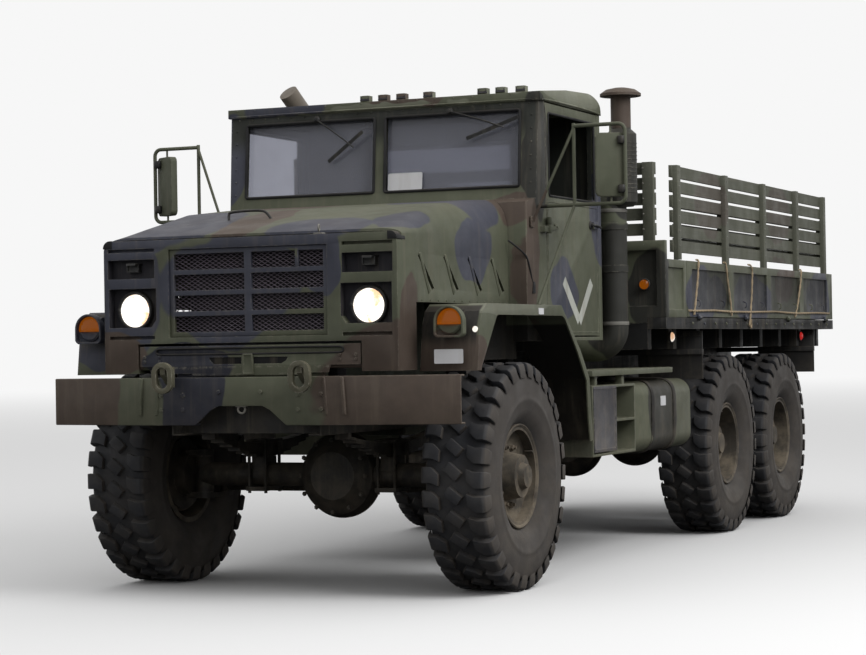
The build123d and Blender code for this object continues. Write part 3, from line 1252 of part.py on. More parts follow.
side_stakes_y = (bed_front_y + 1435, bed_front_y + 2385, bed_rear_y - 950, bed_rear_y - 120)
corner_stake_y = bed_front_y + 375
gate_inner_x = bed_half_width - gate_wall
gate_skin_x = bed_half_width - 16 - gate_skin
stake_inner_x = gate_inner_x + 4
stake_gap = 0.3
rib_width = 55
seat_slats = 4
seat_pitch = 88
seat_low_z = 1880
with BuildPart() as side_gate_left:
    block((gate_inner_x, bed_half_width), (gate_front_y, gate_rear_y), (gate_bottom_z, gate_top_z))
    block((gate_skin_x + gate_skin, bed_half_width + 1), (gate_front_y - 1, gate_rear_y + 1),
          (gate_bottom_z + gate_rail, gate_top_z - gate_rail), mode=Mode.SUBTRACT)
    block((gate_inner_x - 1, gate_skin_x), (gate_front_y - 1, gate_rear_y + 1),
          (gate_bottom_z + gate_rail, gate_top_z - gate_rail), mode=Mode.SUBTRACT)
    for y in (gate_front_y + rib_width, *side_stakes_y[:-1], gate_rear_y - rib_width):
        block((gate_skin_x, bed_half_width), (y - rib_width, y + rib_width),
              (gate_bottom_z + gate_rail, gate_top_z - gate_rail))
    for y in side_stakes_y:
        block((stake_inner_x - stake_gap, stake_inner_x + stake_depth + stake_gap),
              (y - stake_width / 2 - stake_gap, y + stake_width / 2 + stake_gap),
              (gate_bottom_z + gate_rail, gate_top_z + 1), mode=Mode.SUBTRACT)
    for y in side_hinges_y:
        hinge_eye((gate_hinge_x, y - eye_half / 2 - 0.3, gate_hinge_z), (1, 0, 0), (0, 1, 0), 8, 22)
save(side_gate_left, "side_gate_left")
with BuildPart() as side_gate_right:
    mirror(side_gate_left.part, about=Plane.YZ)
save(side_gate_right, "side_gate_right")

with BuildPart() as side_rack_left:
    for y in side_stakes_y:
        block((stake_inner_x, stake_inner_x + stake_depth), (y - stake_width / 2, y + stake_width / 2),
              (gate_bottom_z + gate_rail, rack_top_z))
    block((stake_inner_x, stake_inner_x + stake_depth),
          (corner_stake_y - stake_width / 2, corner_stake_y + stake_width / 2),
          (gate_top_z + gate_clearance, rack_top_z))
    for slat in range(rack_slats):
        low = rack_top_z - slat * rack_pitch - rack_slat
        block((stake_inner_x - slat_wall, stake_inner_x), (corner_stake_y - 45, gate_rear_y),
              (low, low + rack_slat))
    for slat in range(seat_slats):
        low = seat_low_z + slat * seat_pitch
        block((stake_inner_x - 2 * slat_wall - 12, stake_inner_x - slat_wall - 12),
              (gate_front_y + 60, gate_rear_y - 40), (low, low + rack_slat))
    for y in side_stakes_y:
        block((stake_inner_x - slat_wall - 12, stake_inner_x),
              (y - 20, y + 20), (seat_low_z, seat_low_z + (seat_slats - 1) * seat_pitch + rack_slat))
save(side_rack_left, "side_rack_left")
with BuildPart() as side_rack_right:
    mirror(side_rack_left.part, about=Plane.YZ)
save(side_rack_right, "side_rack_right")

# Tailgate across the rear, hinged at its foot
tail_half_width = bed_half_width - 2
tail_ribs = 7
with BuildPart() as tailgate:
    front = bed_rear_y - gate_wall
    block((-tail_half_width, tail_half_width), (front, bed_rear_y), (gate_bottom_z, gate_top_z))
    block((-tail_half_width + rib_width, tail_half_width - rib_width), (bed_rear_y - 16, bed_rear_y + 1),
          (gate_bottom_z + gate_rail, gate_top_z - gate_rail), mode=Mode.SUBTRACT)
    block((-tail_half_width + rib_width, tail_half_width - rib_width),
          (front - 1, front + gate_wall - 16 - gate_skin),
          (gate_bottom_z + gate_rail, gate_top_z - gate_rail), mode=Mode.SUBTRACT)
    for rib in range(tail_ribs):
        x = (rib / (tail_ribs - 1) - 0.5) * 2 * (tail_half_width - rib_width)
        block((x - rib_width / 2, x + rib_width / 2), (bed_rear_y - 16 - gate_skin, bed_rear_y),
              (gate_bottom_z + gate_rail, gate_top_z - gate_rail))
    for x in tail_hinges_x:
        hinge_eye((x - eye_half / 2 - 0.3, tail_hinge_y, gate_hinge_z), (0, 1, 0), (1, 0, 0), 8, 22)
save(tailgate, "tailgate")

# Mud flaps ahead of and behind the rear wheels, hung from the cross beams
flap_gap = 170              # from a rear tyre's tread to a flap
flap_y = (bogie_axles_y[0] - tyre_radius - flap_gap, bogie_axles_y[1] + tyre_radius + flap_gap)
flap_width = 470
flap_low_z = 1050
flap_wall = 12
with BuildPart() as mud_flaps:
    for y in flap_y:
        for side in left_right:
            block(sorted((side * (wheel_x - flap_width / 2), side * (wheel_x + flap_width / 2 - 30))),
                  (y, y + flap_wall), (flap_low_z, sill_bottom_z - 10))
            block(sorted((side * bed_sill_x[1], side * (wheel_x + flap_width / 2 - 30))),
                  (y - 15, y + flap_wall + 15), (bed_sill_top_z - 40, bed_sill_top_z - 5))
save(mud_flaps, "mud_flaps")

# Rear lamps and side reflectors
with BuildPart() as rear_lamps:
    for side in left_right:
        block(sorted((side * 900, side * 1120)), (bed_rear_y - 60, bed_rear_y),
              (sill_bottom_z - 130, sill_bottom_z))
save(rear_lamps, "rear_lamps")

# Rear tow eyes and the pintle hook on the rear cross member
tow_eye_x = 360
tow_eye_z = 960
tow_eye_radius = 62
tow_eye_bore = 34
tow_eye_wall = 36
pintle_z = 930
with BuildPart() as rear_tow:
    tip_y = front_axle_y + rear_reach
    for side in left_right:
        x = side * tow_eye_x
        eye_y = tip_y - tow_eye_radius
        rod((x - tow_eye_wall / 2, eye_y, tow_eye_z), (x + tow_eye_wall / 2, eye_y, tow_eye_z),
            tow_eye_radius)
        block((x - tow_eye_wall / 2, x + tow_eye_wall / 2), (rail_rear_y, eye_y),
              (tow_eye_z - tow_eye_radius, tow_eye_z + tow_eye_radius))
        rod((x - tow_eye_wall, eye_y, tow_eye_z), (x + tow_eye_wall, eye_y, tow_eye_z), tow_eye_bore,
            mode=Mode.SUBTRACT)
    block((-rail_outside, rail_outside), (rail_rear_y, rail_rear_y + 12), (rail_bottom, rail_top))
    rod((0, rail_rear_y, pintle_z), (0, rail_rear_y + 110, pintle_z), 55)
save(rear_tow, "rear_tow")
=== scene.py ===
# %% [markdown]
# # A six-wheel military cargo truck, dressed for a studio
#
# The truck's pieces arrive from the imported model, at their real size and in metres: +X is the
# truck's left, +Y runs from its nose to its tail and +Z is up. This lesson never moves them. It
# softens their edges, paints them, and adds what a walk round the real truck shows: lugged tyres,
# wheel nuts, lamps, mesh, bolts, seat covers and ropes.

# %% Load the frame
import json
from math import cos, pi, radians, sin

import bmesh
import bpy
from mathutils import Matrix, Vector


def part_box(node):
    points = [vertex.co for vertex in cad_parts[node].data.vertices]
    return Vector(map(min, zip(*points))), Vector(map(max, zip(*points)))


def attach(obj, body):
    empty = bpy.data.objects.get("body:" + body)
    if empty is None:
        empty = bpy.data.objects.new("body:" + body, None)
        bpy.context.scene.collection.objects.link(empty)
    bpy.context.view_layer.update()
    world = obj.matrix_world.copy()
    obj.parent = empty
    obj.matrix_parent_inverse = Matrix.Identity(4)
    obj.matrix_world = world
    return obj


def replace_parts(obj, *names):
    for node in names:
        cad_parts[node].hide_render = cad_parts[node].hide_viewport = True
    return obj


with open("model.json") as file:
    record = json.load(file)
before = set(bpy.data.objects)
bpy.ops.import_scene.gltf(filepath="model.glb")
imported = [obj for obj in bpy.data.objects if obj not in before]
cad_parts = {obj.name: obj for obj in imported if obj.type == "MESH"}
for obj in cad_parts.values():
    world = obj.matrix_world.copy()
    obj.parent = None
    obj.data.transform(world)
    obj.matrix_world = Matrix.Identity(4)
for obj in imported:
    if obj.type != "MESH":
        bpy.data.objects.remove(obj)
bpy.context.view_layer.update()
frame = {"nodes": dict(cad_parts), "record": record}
body_of_node = {node: name for name, nodes in frame["record"]["behaviour"]["bodies"].items() for node in nodes}
slot_of_node = {part["node"]: part["material_slot"] for part in frame["record"]["subparts"]}

# %% [markdown]
# ## Places that the rest is worked out from
#
# Each place is read from the frame, so a piece of this lesson follows the model if that changes.
# The front axle's place is the middle of a front tyre's box, and so on.

# %% Places
def middle(node):
    low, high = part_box(node)
    return (low + high) / 2


front_y = middle("tyre_front_left").y
print("the front axle is at y", round(front_y, 3))

# %% [markdown]
# ## The camera
#
# The photograph was taken from a standing height, well ahead and to the truck's left, with a
# longish lens. The camera stands where the outlines of the six tyres, the cab and the bed meet
# those in the picture, and it leans by about a degree.

# %% Camera
camera_place = Vector((5.527, front_y - 11.168, 1.284))
camera_yaw = radians(23.63)
camera_pitch = radians(0.5)
camera_roll = radians(-0.95)
sensor = 36.0
photo_width = 866
focal_pixels = 2279.5

forward = Vector((-sin(camera_yaw) * cos(camera_pitch), cos(camera_yaw) * cos(camera_pitch), sin(camera_pitch)))
level_right = Vector((cos(camera_yaw), sin(camera_yaw), 0))
level_up = level_right.cross(forward)
right = cos(camera_roll) * level_right + sin(camera_roll) * level_up
up = cos(camera_roll) * level_up - sin(camera_roll) * level_right
bpy.ops.object.camera_add(location=camera_place)
camera = bpy.context.object
camera.name = "camera"
camera.rotation_mode = "QUATERNION"
camera.rotation_quaternion = Matrix((right, up, -forward)).transposed().to_quaternion()
camera.data.sensor_width = sensor
camera.data.lens = focal_pixels / photo_width * sensor
camera.data.clip_end = 200
bpy.context.scene.camera = camera
print("the lens is", round(camera.data.lens, 1), "mm on a", sensor, "mm sensor")

# %% [markdown]
# ## The studio
#
# The truck was seen under a bright, hazy sky, which lights it softly from all above and a little
# more from the left. A world that is brighter overhead does the most of that, and one large
# area lamp adds the rest. The world shows itself paler to the camera than it shines, and the floor
# fades into it far away, so no horizon line cuts the picture. The floor throws back less light than
# it shows, as gravel would, so the truck is dark underneath as it was outdoors.

# %% Studio
def add_node(tree, kind, values=(), **settings):
    """Add a shader node, set its fields, and fill or join its inputs."""
    made = tree.nodes.new("ShaderNode" + kind)
    for field, value in settings.items():
        setattr(made, field, value)
    for socket, value in dict(values).items():
        if isinstance(value, bpy.types.NodeSocket):
            tree.links.new(value, made.inputs[socket])
        else:
            made.inputs[socket].default_value = value
    return made


def grey(value):
    return (value, value, value, 1.0)


def background_ray(tree):
    """1 for the rays that should see the pale studio and not its true light."""
    rays = add_node(tree, "LightPath")
    either = add_node(tree, "Math", {0: rays.outputs["Is Camera Ray"], 1: rays.outputs["Is Glossy Ray"]},
                      operation="MAXIMUM")
    return add_node(tree, "Math", {0: either.outputs[0], 1: rays.outputs["Is Transmission Ray"]},
                    operation="MAXIMUM").outputs[0]


bpy.context.scene.view_settings.view_transform = "Standard"
backdrop = 0.93
world = bpy.data.worlds.new("studio_sky")
bpy.context.scene.world = world
world.use_nodes = True
sky = world.node_tree
sky.nodes.clear()
direction = add_node(sky, "TexCoord")
height = add_node(sky, "SeparateXYZ", {0: direction.outputs["Generated"]})
overhead = add_node(sky, "MapRange", {0: height.outputs["Z"], "From Min": -0.1, "From Max": 0.9,
                                      "To Min": 0.31, "To Max": 0.98})
light_color = add_node(sky, "CombineColor", {0: overhead.outputs[0], 1: overhead.outputs[0],
                                             2: overhead.outputs[0]})
shown = add_node(sky, "Mix", {0: background_ray(sky), 6: light_color.outputs[0], 7: grey(backdrop)},
                 data_type="RGBA")
lit = add_node(sky, "Background", {"Color": shown.outputs[2], "Strength": 1.0})
add_node(sky, "OutputWorld", {"Surface": lit.outputs[0]})

bpy.ops.mesh.primitive_plane_add(size=600)
floor = bpy.context.object
floor.name = "floor"
floor_look = bpy.data.materials.new("floor")
floor_look.use_nodes = True
ground = floor_look.node_tree
ground.nodes.clear()
place = add_node(ground, "TexCoord")
reach = add_node(ground, "VectorMath", {0: place.outputs["Object"]}, operation="LENGTH")
far = add_node(ground, "MapRange", {0: reach.outputs["Value"], "From Min": 12.0, "From Max": 70.0},
               interpolation_type="SMOOTHSTEP")
fade = add_node(ground, "Math", {0: far.outputs[0], 1: background_ray(ground)}, operation="MULTIPLY")
seen = add_node(ground, "LightPath").outputs["Is Camera Ray"]
matt = add_node(ground, "BsdfDiffuse", {"Color": add_node(ground, "Mix", {
    0: seen, 6: grey(0.12), 7: grey(0.8)}, data_type="RGBA").outputs[2]})
glow = add_node(ground, "Emission", {"Color": grey(backdrop)})
faded = add_node(ground, "MixShader", {0: fade.outputs[0], 1: matt.outputs[0], 2: glow.outputs[0]})
add_node(ground, "OutputMaterial", {"Surface": faded.outputs[0]})
floor.data.materials.append(floor_look)

bpy.ops.object.light_add(type="AREA", location=(9.5, front_y - 1.5, 8.5))
key = bpy.context.object
key.name = "key_light"
key.data.shape = "DISK"
key.data.size = 7.0
key.data.energy = 760
key.rotation_mode = "QUATERNION"
key.rotation_quaternion = (Vector((0, 0, 1.2)) - key.location).to_track_quat("-Z", "Y")
print("the studio has a", floor.name, "and a", key.name)

# %% [markdown]
# ## Shared effects
#
# Real surfaces are never one even colour. Paint fades and picks up dust where it faces the sky,
# mud stays low down, and the high edges of panels get rubbed. Many finishes need these effects, so
# each is a small node group, built once and placed in each material with its own values. All of
# them read Object coordinates, so a pattern runs on from one panel to the next, as spray does.

# %% Helpers for shader nodes
def srgb(red, green, blue):
    """A colour as an eye or a photograph gives it, from 0 to 255, as Blender's linear values."""
    linear = [(v / 255 / 12.92) if v <= 10 else ((v / 255 + 0.055) / 1.055) ** 2.4 for v in (red, green, blue)]
    return (*linear, 1.0)


def calc(tree, operation, first, second=0.0):
    return add_node(tree, "Math", {0: first, 1: second}, operation=operation).outputs[0]


def blend_colors(tree, factor, first, second, way="MIX"):
    return add_node(tree, "Mix", {0: factor, 6: first, 7: second}, data_type="RGBA",
                    blend_type=way).outputs[2]


def span(tree, value, low, high, to_low=0.0, to_high=1.0):
    """Take a value from one range to another, with soft ends."""
    return add_node(tree, "MapRange", {0: value, "From Min": low, "From Max": high, "To Min": to_low,
                                       "To Max": to_high}, interpolation_type="SMOOTHSTEP").outputs[0]


def noise(tree, scale, detail=3.0, vector=None, roughness=0.55):
    if vector is None:
        vector = add_node(tree, "TexCoord").outputs["Object"]
    return add_node(tree, "TexNoise", {"Vector": vector, "Scale": scale, "Detail": detail,
                                       "Roughness": roughness}).outputs["Fac"]


def stretched(tree, scale):
    """Object coordinates with each axis scaled, for a grain or streak that runs one way."""
    place = add_node(tree, "TexCoord").outputs["Object"]
    return add_node(tree, "Mapping", {"Vector": place, "Scale": scale}).outputs[0]


def axes_of(tree, which="Object"):
    """The X, Y and Z of the Object coordinates, or of the surface's normal."""
    return add_node(tree, "SeparateXYZ", {0: add_node(tree, "TexCoord").outputs[which]}).outputs


def start_effect(name, inputs, outputs):
    """Start a node group from (name, kind, value) inputs and (name, kind) outputs."""
    group = bpy.data.node_groups.new(name, "ShaderNodeTree")
    for title, kind, value in inputs:
        socket = group.interface.new_socket(title, in_out="INPUT", socket_type="NodeSocket" + kind)
        socket.default_value = value
    for title, kind in outputs:
        group.interface.new_socket(title, in_out="OUTPUT", socket_type="NodeSocket" + kind)
    return group, group.nodes.new("NodeGroupInput").outputs, group.nodes.new("NodeGroupOutput").inputs


def effect(tree, group, values):
    return add_node(tree, "Group", values, node_tree=group).outputs


# %% [markdown]
# ### Patches of three colours
#
# The truck is painted in patches of a dull green, a bluish slate and a dark brown. Each patch was
# sprayed freehand over the green, so it is a soft blob that runs across the panels. Here a patch
# is an ellipsoid in space, and noise bends the coordinates so its outline wanders. The table
# gives the patches of the side that was seen where they were seen, and the far side and the rear
# get patches of the same sizes. Some entries are not paint: the patches marked shade, and the navy
# one on the left gate's panel, are painted shade, and the patches marked pale are painted light.
# After the table, the inside of the cab, the inside of the front wheel arches and the gates'
# recessed panels are darkened with painted shade, over a darker inner paint in the cab, mud in the
# wheel arches and dirt on the gates.

# %% The patches
# (x, y from the front axle, z, reach along x, y and z, paint)
patches = [
    (-0.66, -0.62, 1.98, 0.42, 0.6, 0.22, "slate"), (0.33, -0.78, 1.93, 0.3, 0.3, 0.16, "slate"),
    (0.74, -0.6, 1.99, 0.16, 0.22, 0.16, "slate"), (0.7, 0.26, 2.07, 0.42, 0.26, 0.15, "slate"),
    (0.88, 0.1, 1.8, 0.1, 0.28, 0.17, "slate"), (-0.15, -0.55, 1.98, 0.14, 0.5, 0.2, "brown"),
    (-0.3, 0.3, 2.1, 0.3, 0.3, 0.12, "brown"), (-0.1, -0.9, 1.6, 0.42, 0.12, 0.3, "slate"),
    (0.42, -0.9, 1.72, 0.14, 0.12, 0.2, "slate"), (-0.72, -0.9, 1.6, 0.22, 0.12, 0.36, "slate"),
    (0.78, -0.78, 1.2, 0.24, 0.3, 0.16, "brown"), (0.86, -0.74, 1.42, 0.08, 0.14, 0.24, "brown"),
    (-0.8, -0.8, 1.26, 0.2, 0.22, 0.13, "brown"), (1.05, -0.66, 1.2, 0.26, 0.16, 0.17, "brown"),
    (-1.02, -0.62, 1.4, 0.26, 0.3, 0.2, "slate"), (0.95, 0.66, 1.8, 0.14, 0.08, 0.4, "brown"),
    (0.8, 0.62, 2.06, 0.34, 0.12, 0.1, "brown"), (0.98, -0.92, 1.03, 0.64, 0.2, 0.4, "brown"),
    (-1.05, -0.92, 1.03, 0.34, 0.2, 0.4, "brown"), (-0.28, -0.99, 1.03, 0.2, 0.1, 0.4, "navy"),
    (-0.34, -0.88, 1.22, 0.3, 0.06, 0.1, "navy"), (-0.9, 0.3, 1.75, 0.2, 0.3, 0.2, "slate"),
    (-0.62, 1, 2.7, 0.36, 0.4, 0.16, "slate"), (0.18, 0.85, 2.7, 0.26, 0.22, 0.1, "brown"),
    # The patches marked shade, at the end of this line and below, are painted shade: on the left windshield pillar,
    # the air intake and its pipe, the bed's front corner and the middle of the tank.
    (0.4, 1.45, 2.78, 0.36, 0.26, 0.1, "slate"), (0.97, 0.76, 2.32, 0.1, 0.1, 0.36, "shade"),
    (-0.97, 0.8, 2.4, 0.12, 0.25, 0.3, "slate"), (-0.98, 1.4, 1.85, 0.14, 0.34, 0.26, "brown"),
    (-0.98, 1.1, 1.45, 0.14, 0.28, 0.16, "slate"), (1, 1.1, 1.6, 0.08, 0.22, 0.2, "slate"),
    (1, 1.72, 2.05, 0.08, 0.16, 0.3, "slate"), (-0.45, 1.76, 1.95, 0.4, 0.12, 0.32, "slate"),
    (0.55, 1.76, 1.6, 0.34, 0.12, 0.26, "brown"), (1.04, 1.98, 2.72, 0.2, 0.2, 0.2, "brown"),
    (1.04, 1.98, 2.34, 0.16, 0.18, 0.27, "shade"), (0.985, 1.98, 1.62, 0.2, 0.2, 0.46, "shade"),
    (1.15, 2.22, 1.62, 0.17, 0.1, 0.26, "shade"), (-0.1, 2.2, 1.62, 0.45, 0.1, 0.2, "brown"),
    (-0.95, 2.2, 1.75, 0.28, 0.1, 0.22, "slate"), (1.02, 2.38, 0.86, 0.32, 0.3, 0.3, "shade"),
    (-1.02, 1.6, 1, 0.32, 0.36, 0.26, "slate"), (1.22, 2.95, 1.58, 0.08, 0.34, 0.2, "slate"),
    (1.22, 4.2, 1.56, 0.08, 0.5, 0.18, "slate"), (1.22, 5.05, 1.74, 0.08, 0.26, 0.2, "brown"),
    (1.22, 6.02, 1.6, 0.08, 0.34, 0.22, "slate"), (1.2, 3.35, 2.2, 0.1, 0.34, 0.22, "brown"),
    (1.2, 5.05, 2.22, 0.1, 0.34, 0.22, "brown"), (-1.22, 3.3, 1.62, 0.16, 0.4, 0.2, "brown"),
    (-1.22, 4.4, 1.74, 0.16, 0.35, 0.2, "slate"), (-1.22, 5.7, 1.6, 0.16, 0.4, 0.2, "brown"),
    (-1.2, 5.2, 2.16, 0.14, 0.36, 0.18, "slate"), (-0.55, 6.48, 1.62, 0.42, 0.12, 0.18, "slate"),
    # The three patches marked pale, from the end of this line, are painted light on the roof's side, the left
    # fender's top edge and the roof's front lip.
    (0.62, 6.48, 1.72, 0.34, 0.12, 0.16, "brown"), (0.92, 1.15, 2.74, 0.26, 0.6, 0.09, "pale"),
    (1.17, -0.2, 1.495, 0.08, 0.62, 0.04, "pale"), (0.05, 0.82, 2.66, 0.8, 0.08, 0.05, "pale"),
    # Painted shade, in the navy colour, over the left gate's recessed front panel.
    (1.22, 3.36, 1.6, 0.06, 0.22, 0.13, "navy"),
]
# Green, slate, brown and navy are paint colours; shade is the colour of painted shade, and pale the colour of
# painted light.
paints = {"green": srgb(86, 89, 73), "slate": srgb(66, 68, 79), "brown": srgb(80, 69, 61),
          "navy": srgb(42, 44, 54), "shade": srgb(48, 48, 44), "pale": srgb(110, 112, 97)}

patch_group, _, patch_result = start_effect("camouflage_patches", [], [("Color", "Color")])
wander = add_node(patch_group, "TexNoise", {"Scale": 3.2, "Detail": 2.0, "Vector": add_node(
    patch_group, "TexCoord").outputs["Object"]})
centred = add_node(patch_group, "VectorMath", {0: wander.outputs["Color"], 1: (0.5, 0.5, 0.5)},
                   operation="SUBTRACT")
bent = add_node(patch_group, "VectorMath", {
    0: centred.outputs[0], 1: (0.16, 0.16, 0.16),
    2: add_node(patch_group, "TexCoord").outputs["Object"]}, operation="MULTIPLY_ADD")
color = None
for x, y, z, *reaches, paint in patches:
    around = add_node(patch_group, "Mapping", {"Vector": bent.outputs[0], "Location": (x, front_y + y, z),
                                               "Scale": reaches}, vector_type="TEXTURE")
    depth = add_node(patch_group, "VectorMath", {0: around.outputs[0]}, operation="LENGTH")
    inside = span(patch_group, depth.outputs["Value"], 1.03, 0.97)
    color = blend_colors(patch_group, inside, color or paints["green"], paints[paint])


def within(tree, low, high, soft=0.006):
    """1 inside a box given in metres, from the Object coordinates."""
    parts = axes_of(tree)
    mask = None
    for axis, lowest, highest in zip("XYZ", low, high):
        value = calc(tree, "ABSOLUTE", parts[axis]) if axis == "X" else parts[axis]
        here = calc(tree, "MULTIPLY", span(tree, value, lowest - soft, lowest + soft),
                    span(tree, value, highest + soft, highest - soft))
        mask = here if mask is None else calc(tree, "MULTIPLY", mask, here)
    return mask


# Inside the cab the colour is a dark green: partly the cab's inner paint, partly painted shade.
cab_inside_paint_and_shade = within(patch_group, (-1, front_y + 0.745, 1.34), (0.968, front_y + 1.735, 2.655))
color = blend_colors(patch_group, cab_inside_paint_and_shade, color, srgb(38, 40, 35))
# Under the front fenders, inside the wheel arches and on the fenders' rear legs, the colour goes near black: painted
# shade, with some mud.
wheel_arch_shade_and_mud = within(patch_group, (-1, front_y - 0.64, 0.6), (1.156, front_y + 0.5, 1.494))
rear_leg_shade_and_mud = within(patch_group, (-1, front_y + 0.49, 0.6), (1.156, front_y + 1.04, 1.4))
color = blend_colors(patch_group, calc(patch_group, "MAXIMUM", wheel_arch_shade_and_mud, rear_leg_shade_and_mud), color, srgb(31, 29, 26))
# The gates' recessed panels are darkened: painted shade, with some dirt.
gate_recess_shade_and_dirt = within(patch_group, (1.14, front_y + 2.64, 1.49), (1.2335, front_y + 6.4, 1.765))
color = blend_colors(patch_group, calc(patch_group, "MULTIPLY", gate_recess_shade_and_dirt, 0.72), color, srgb(34, 34, 32))
patch_group.links.new(color, patch_result["Color"])
print(len(patches), "patches in", len(patch_group.nodes), "nodes")

# %% [markdown]
# ### Fading, dust, streaks and rubbed edges
#
# *Tone* makes a colour lighter and darker in broad clouds. *Dust* covers what faces up, and what
# sits low where the wheels throw it. *Streaks* run down upright panels below seams. *Rubbed edge*
# compares the true normal with one smoothed over a few millimetres, because they differ only
# near an edge.

# %% The shared effects
tone, given, result = start_effect(
    "tone", [("Color", "Color", grey(0.5)), ("Amount", "Float", 0.3)], [("Color", "Color")])
clouds = calc(tone, "ADD", noise(tone, 1.7, 4.0), calc(tone, "MULTIPLY", noise(tone, 14.0, 4.0), 0.5))
shift = calc(tone, "MULTIPLY", calc(tone, "SUBTRACT", clouds, 0.75), given["Amount"])
lightened = add_node(tone, "HueSaturation", {"Color": given["Color"], "Value": calc(
    tone, "ADD", calc(tone, "MULTIPLY", shift, 2.0), 1.0)})
tone.links.new(lightened.outputs[0], result["Color"])

dust, given, result = start_effect(
    "dust", [("Color", "Color", grey(0.5)), ("Top", "Float", 0.5), ("Low", "Float", 0.5),
             ("Dust", "Color", srgb(142, 130, 112))], [("Color", "Color"), ("Amount", "Float")])
upward = span(dust, axes_of(dust, "Normal")["Z"], 0.25, 1.0)
settled = calc(dust, "MULTIPLY", calc(dust, "MULTIPLY", upward, given["Top"]),
               span(dust, noise(dust, 4.5, 6.0), 0.3, 0.7, 0.35))
low_down = span(dust, axes_of(dust)["Z"], 1.35, 0.35)
thrown = calc(dust, "MULTIPLY", calc(dust, "MULTIPLY", low_down, given["Low"]),
              span(dust, noise(dust, 7.0, 7.0, roughness=0.65), 0.38, 0.66, 0.2))
covered = add_node(dust, "Clamp", {0: calc(dust, "ADD", settled, thrown)}).outputs[0]
dust.links.new(blend_colors(dust, covered, given["Color"], given["Dust"]), result["Color"])
dust.links.new(covered, result["Amount"])

streaks, given, result = start_effect(
    "streaks", [("Color", "Color", grey(0.5)), ("Amount", "Float", 0.3)], [("Color", "Color")])
runs = noise(streaks, 1.0, 5.0, stretched(streaks, (22.0, 22.0, 1.1)), 0.6)
side_face = span(streaks, calc(streaks, "ABSOLUTE", axes_of(streaks, "Normal")["Z"]), 0.6, 0.2)
run_mask = calc(streaks, "MULTIPLY", calc(streaks, "MULTIPLY", span(streaks, runs, 0.5, 0.68), side_face),
                given["Amount"])
streaks.links.new(blend_colors(streaks, run_mask, given["Color"], srgb(134, 124, 108)), result["Color"])

rubbed, given, result = start_effect(
    "rubbed_edge", [("Radius", "Float", 0.008), ("Amount", "Float", 0.5)], [("Mask", "Float")])
rounded = add_node(rubbed, "Bevel", {"Radius": given["Radius"]}, samples=3)
true_normal = add_node(rubbed, "NewGeometry")
agree = add_node(rubbed, "VectorMath", {0: rounded.outputs[0], 1: true_normal.outputs["Normal"]},
                 operation="DOT_PRODUCT")
edge = span(rubbed, agree.outputs["Value"], 0.985, 0.9)
broken = span(rubbed, noise(rubbed, 26.0, 5.0, roughness=0.7), 0.44, 0.62)
rubbed.links.new(calc(rubbed, "MULTIPLY", calc(rubbed, "MULTIPLY", edge, broken), given["Amount"]),
                 result["Mask"])

grain, given, result = start_effect(
    "grain", [("Scale", "Float", 400.0), ("Waves", "Float", 0.0)], [("Height", "Float")])
fine = add_node(grain, "TexNoise", {"Vector": add_node(grain, "TexCoord").outputs["Object"],
                                    "Scale": given["Scale"], "Detail": 3.0}).outputs["Fac"]
dents = calc(grain, "MULTIPLY", noise(grain, 5.0, 1.0), given["Waves"])
grain.links.new(calc(grain, "ADD", fine, dents), result["Height"])
print("shared effects:", ", ".join(group.name for group in bpy.data.node_groups))

# %% [markdown]
# ## The finishes
#
# Each finish is a Principled shader that is fed by those effects. The camouflage paint is matt
# with a faint sheen. The running gear wears a near-black paint under road dust. Rubber is dark and
# nearly dull, paler where it scuffs the ground.

# %% Paint, metal and rubber finishes
def start_look(name):
    look = bpy.data.materials.new(name)
    look.use_nodes = True
    return look, look.node_tree, look.node_tree.nodes["Principled BSDF"].inputs


def roughen(tree, shader, low, high, dusted=None, scale=6.0):
    """Let roughness wander between two values, and rise where dust lies."""
    value = span(tree, noise(tree, scale, 4.0), 0.35, 0.65, low, high)
    if dusted is not None:
        value = calc(tree, "ADD", value, calc(tree, "MULTIPLY", dusted, 0.3))
    tree.links.new(value, shader["Roughness"])


def bump(tree, shader, height, distance, strength=1.0):
    raised = add_node(tree, "Bump", {"Height": height, "Distance": distance, "Strength": strength})
    tree.links.new(raised.outputs[0], shader["Normal"])


def coated(name, color, top=0.3, low=0.5, rough=(0.45, 0.62), fading=0.35, streaking=0.15, wear=0.5,
           worn=srgb(150, 146, 132), waves=6.0, scale=500.0, depth=0.0006):
    """A painted surface: patches or one colour, faded, streaked, dusty and rubbed at its edges."""
    look, tree, shader = start_look(name)
    if color is None:
        color = effect(tree, patch_group, {})["Color"]
    color = effect(tree, tone, {"Color": color, "Amount": fading})["Color"]
    color = effect(tree, streaks, {"Color": color, "Amount": streaking})["Color"]
    if wear:
        mask = effect(tree, rubbed, {"Amount": wear})["Mask"]
        color = blend_colors(tree, mask, color, worn)
    dusty = effect(tree, dust, {"Color": color, "Top": top, "Low": low})
    tree.links.new(dusty["Color"], shader["Base Color"])
    roughen(tree, shader, *rough, dusty["Amount"])
    bump(tree, shader, effect(tree, grain, {"Scale": scale, "Waves": waves})["Height"], depth)
    shader["Specular IOR Level"].default_value = 0.32
    return look


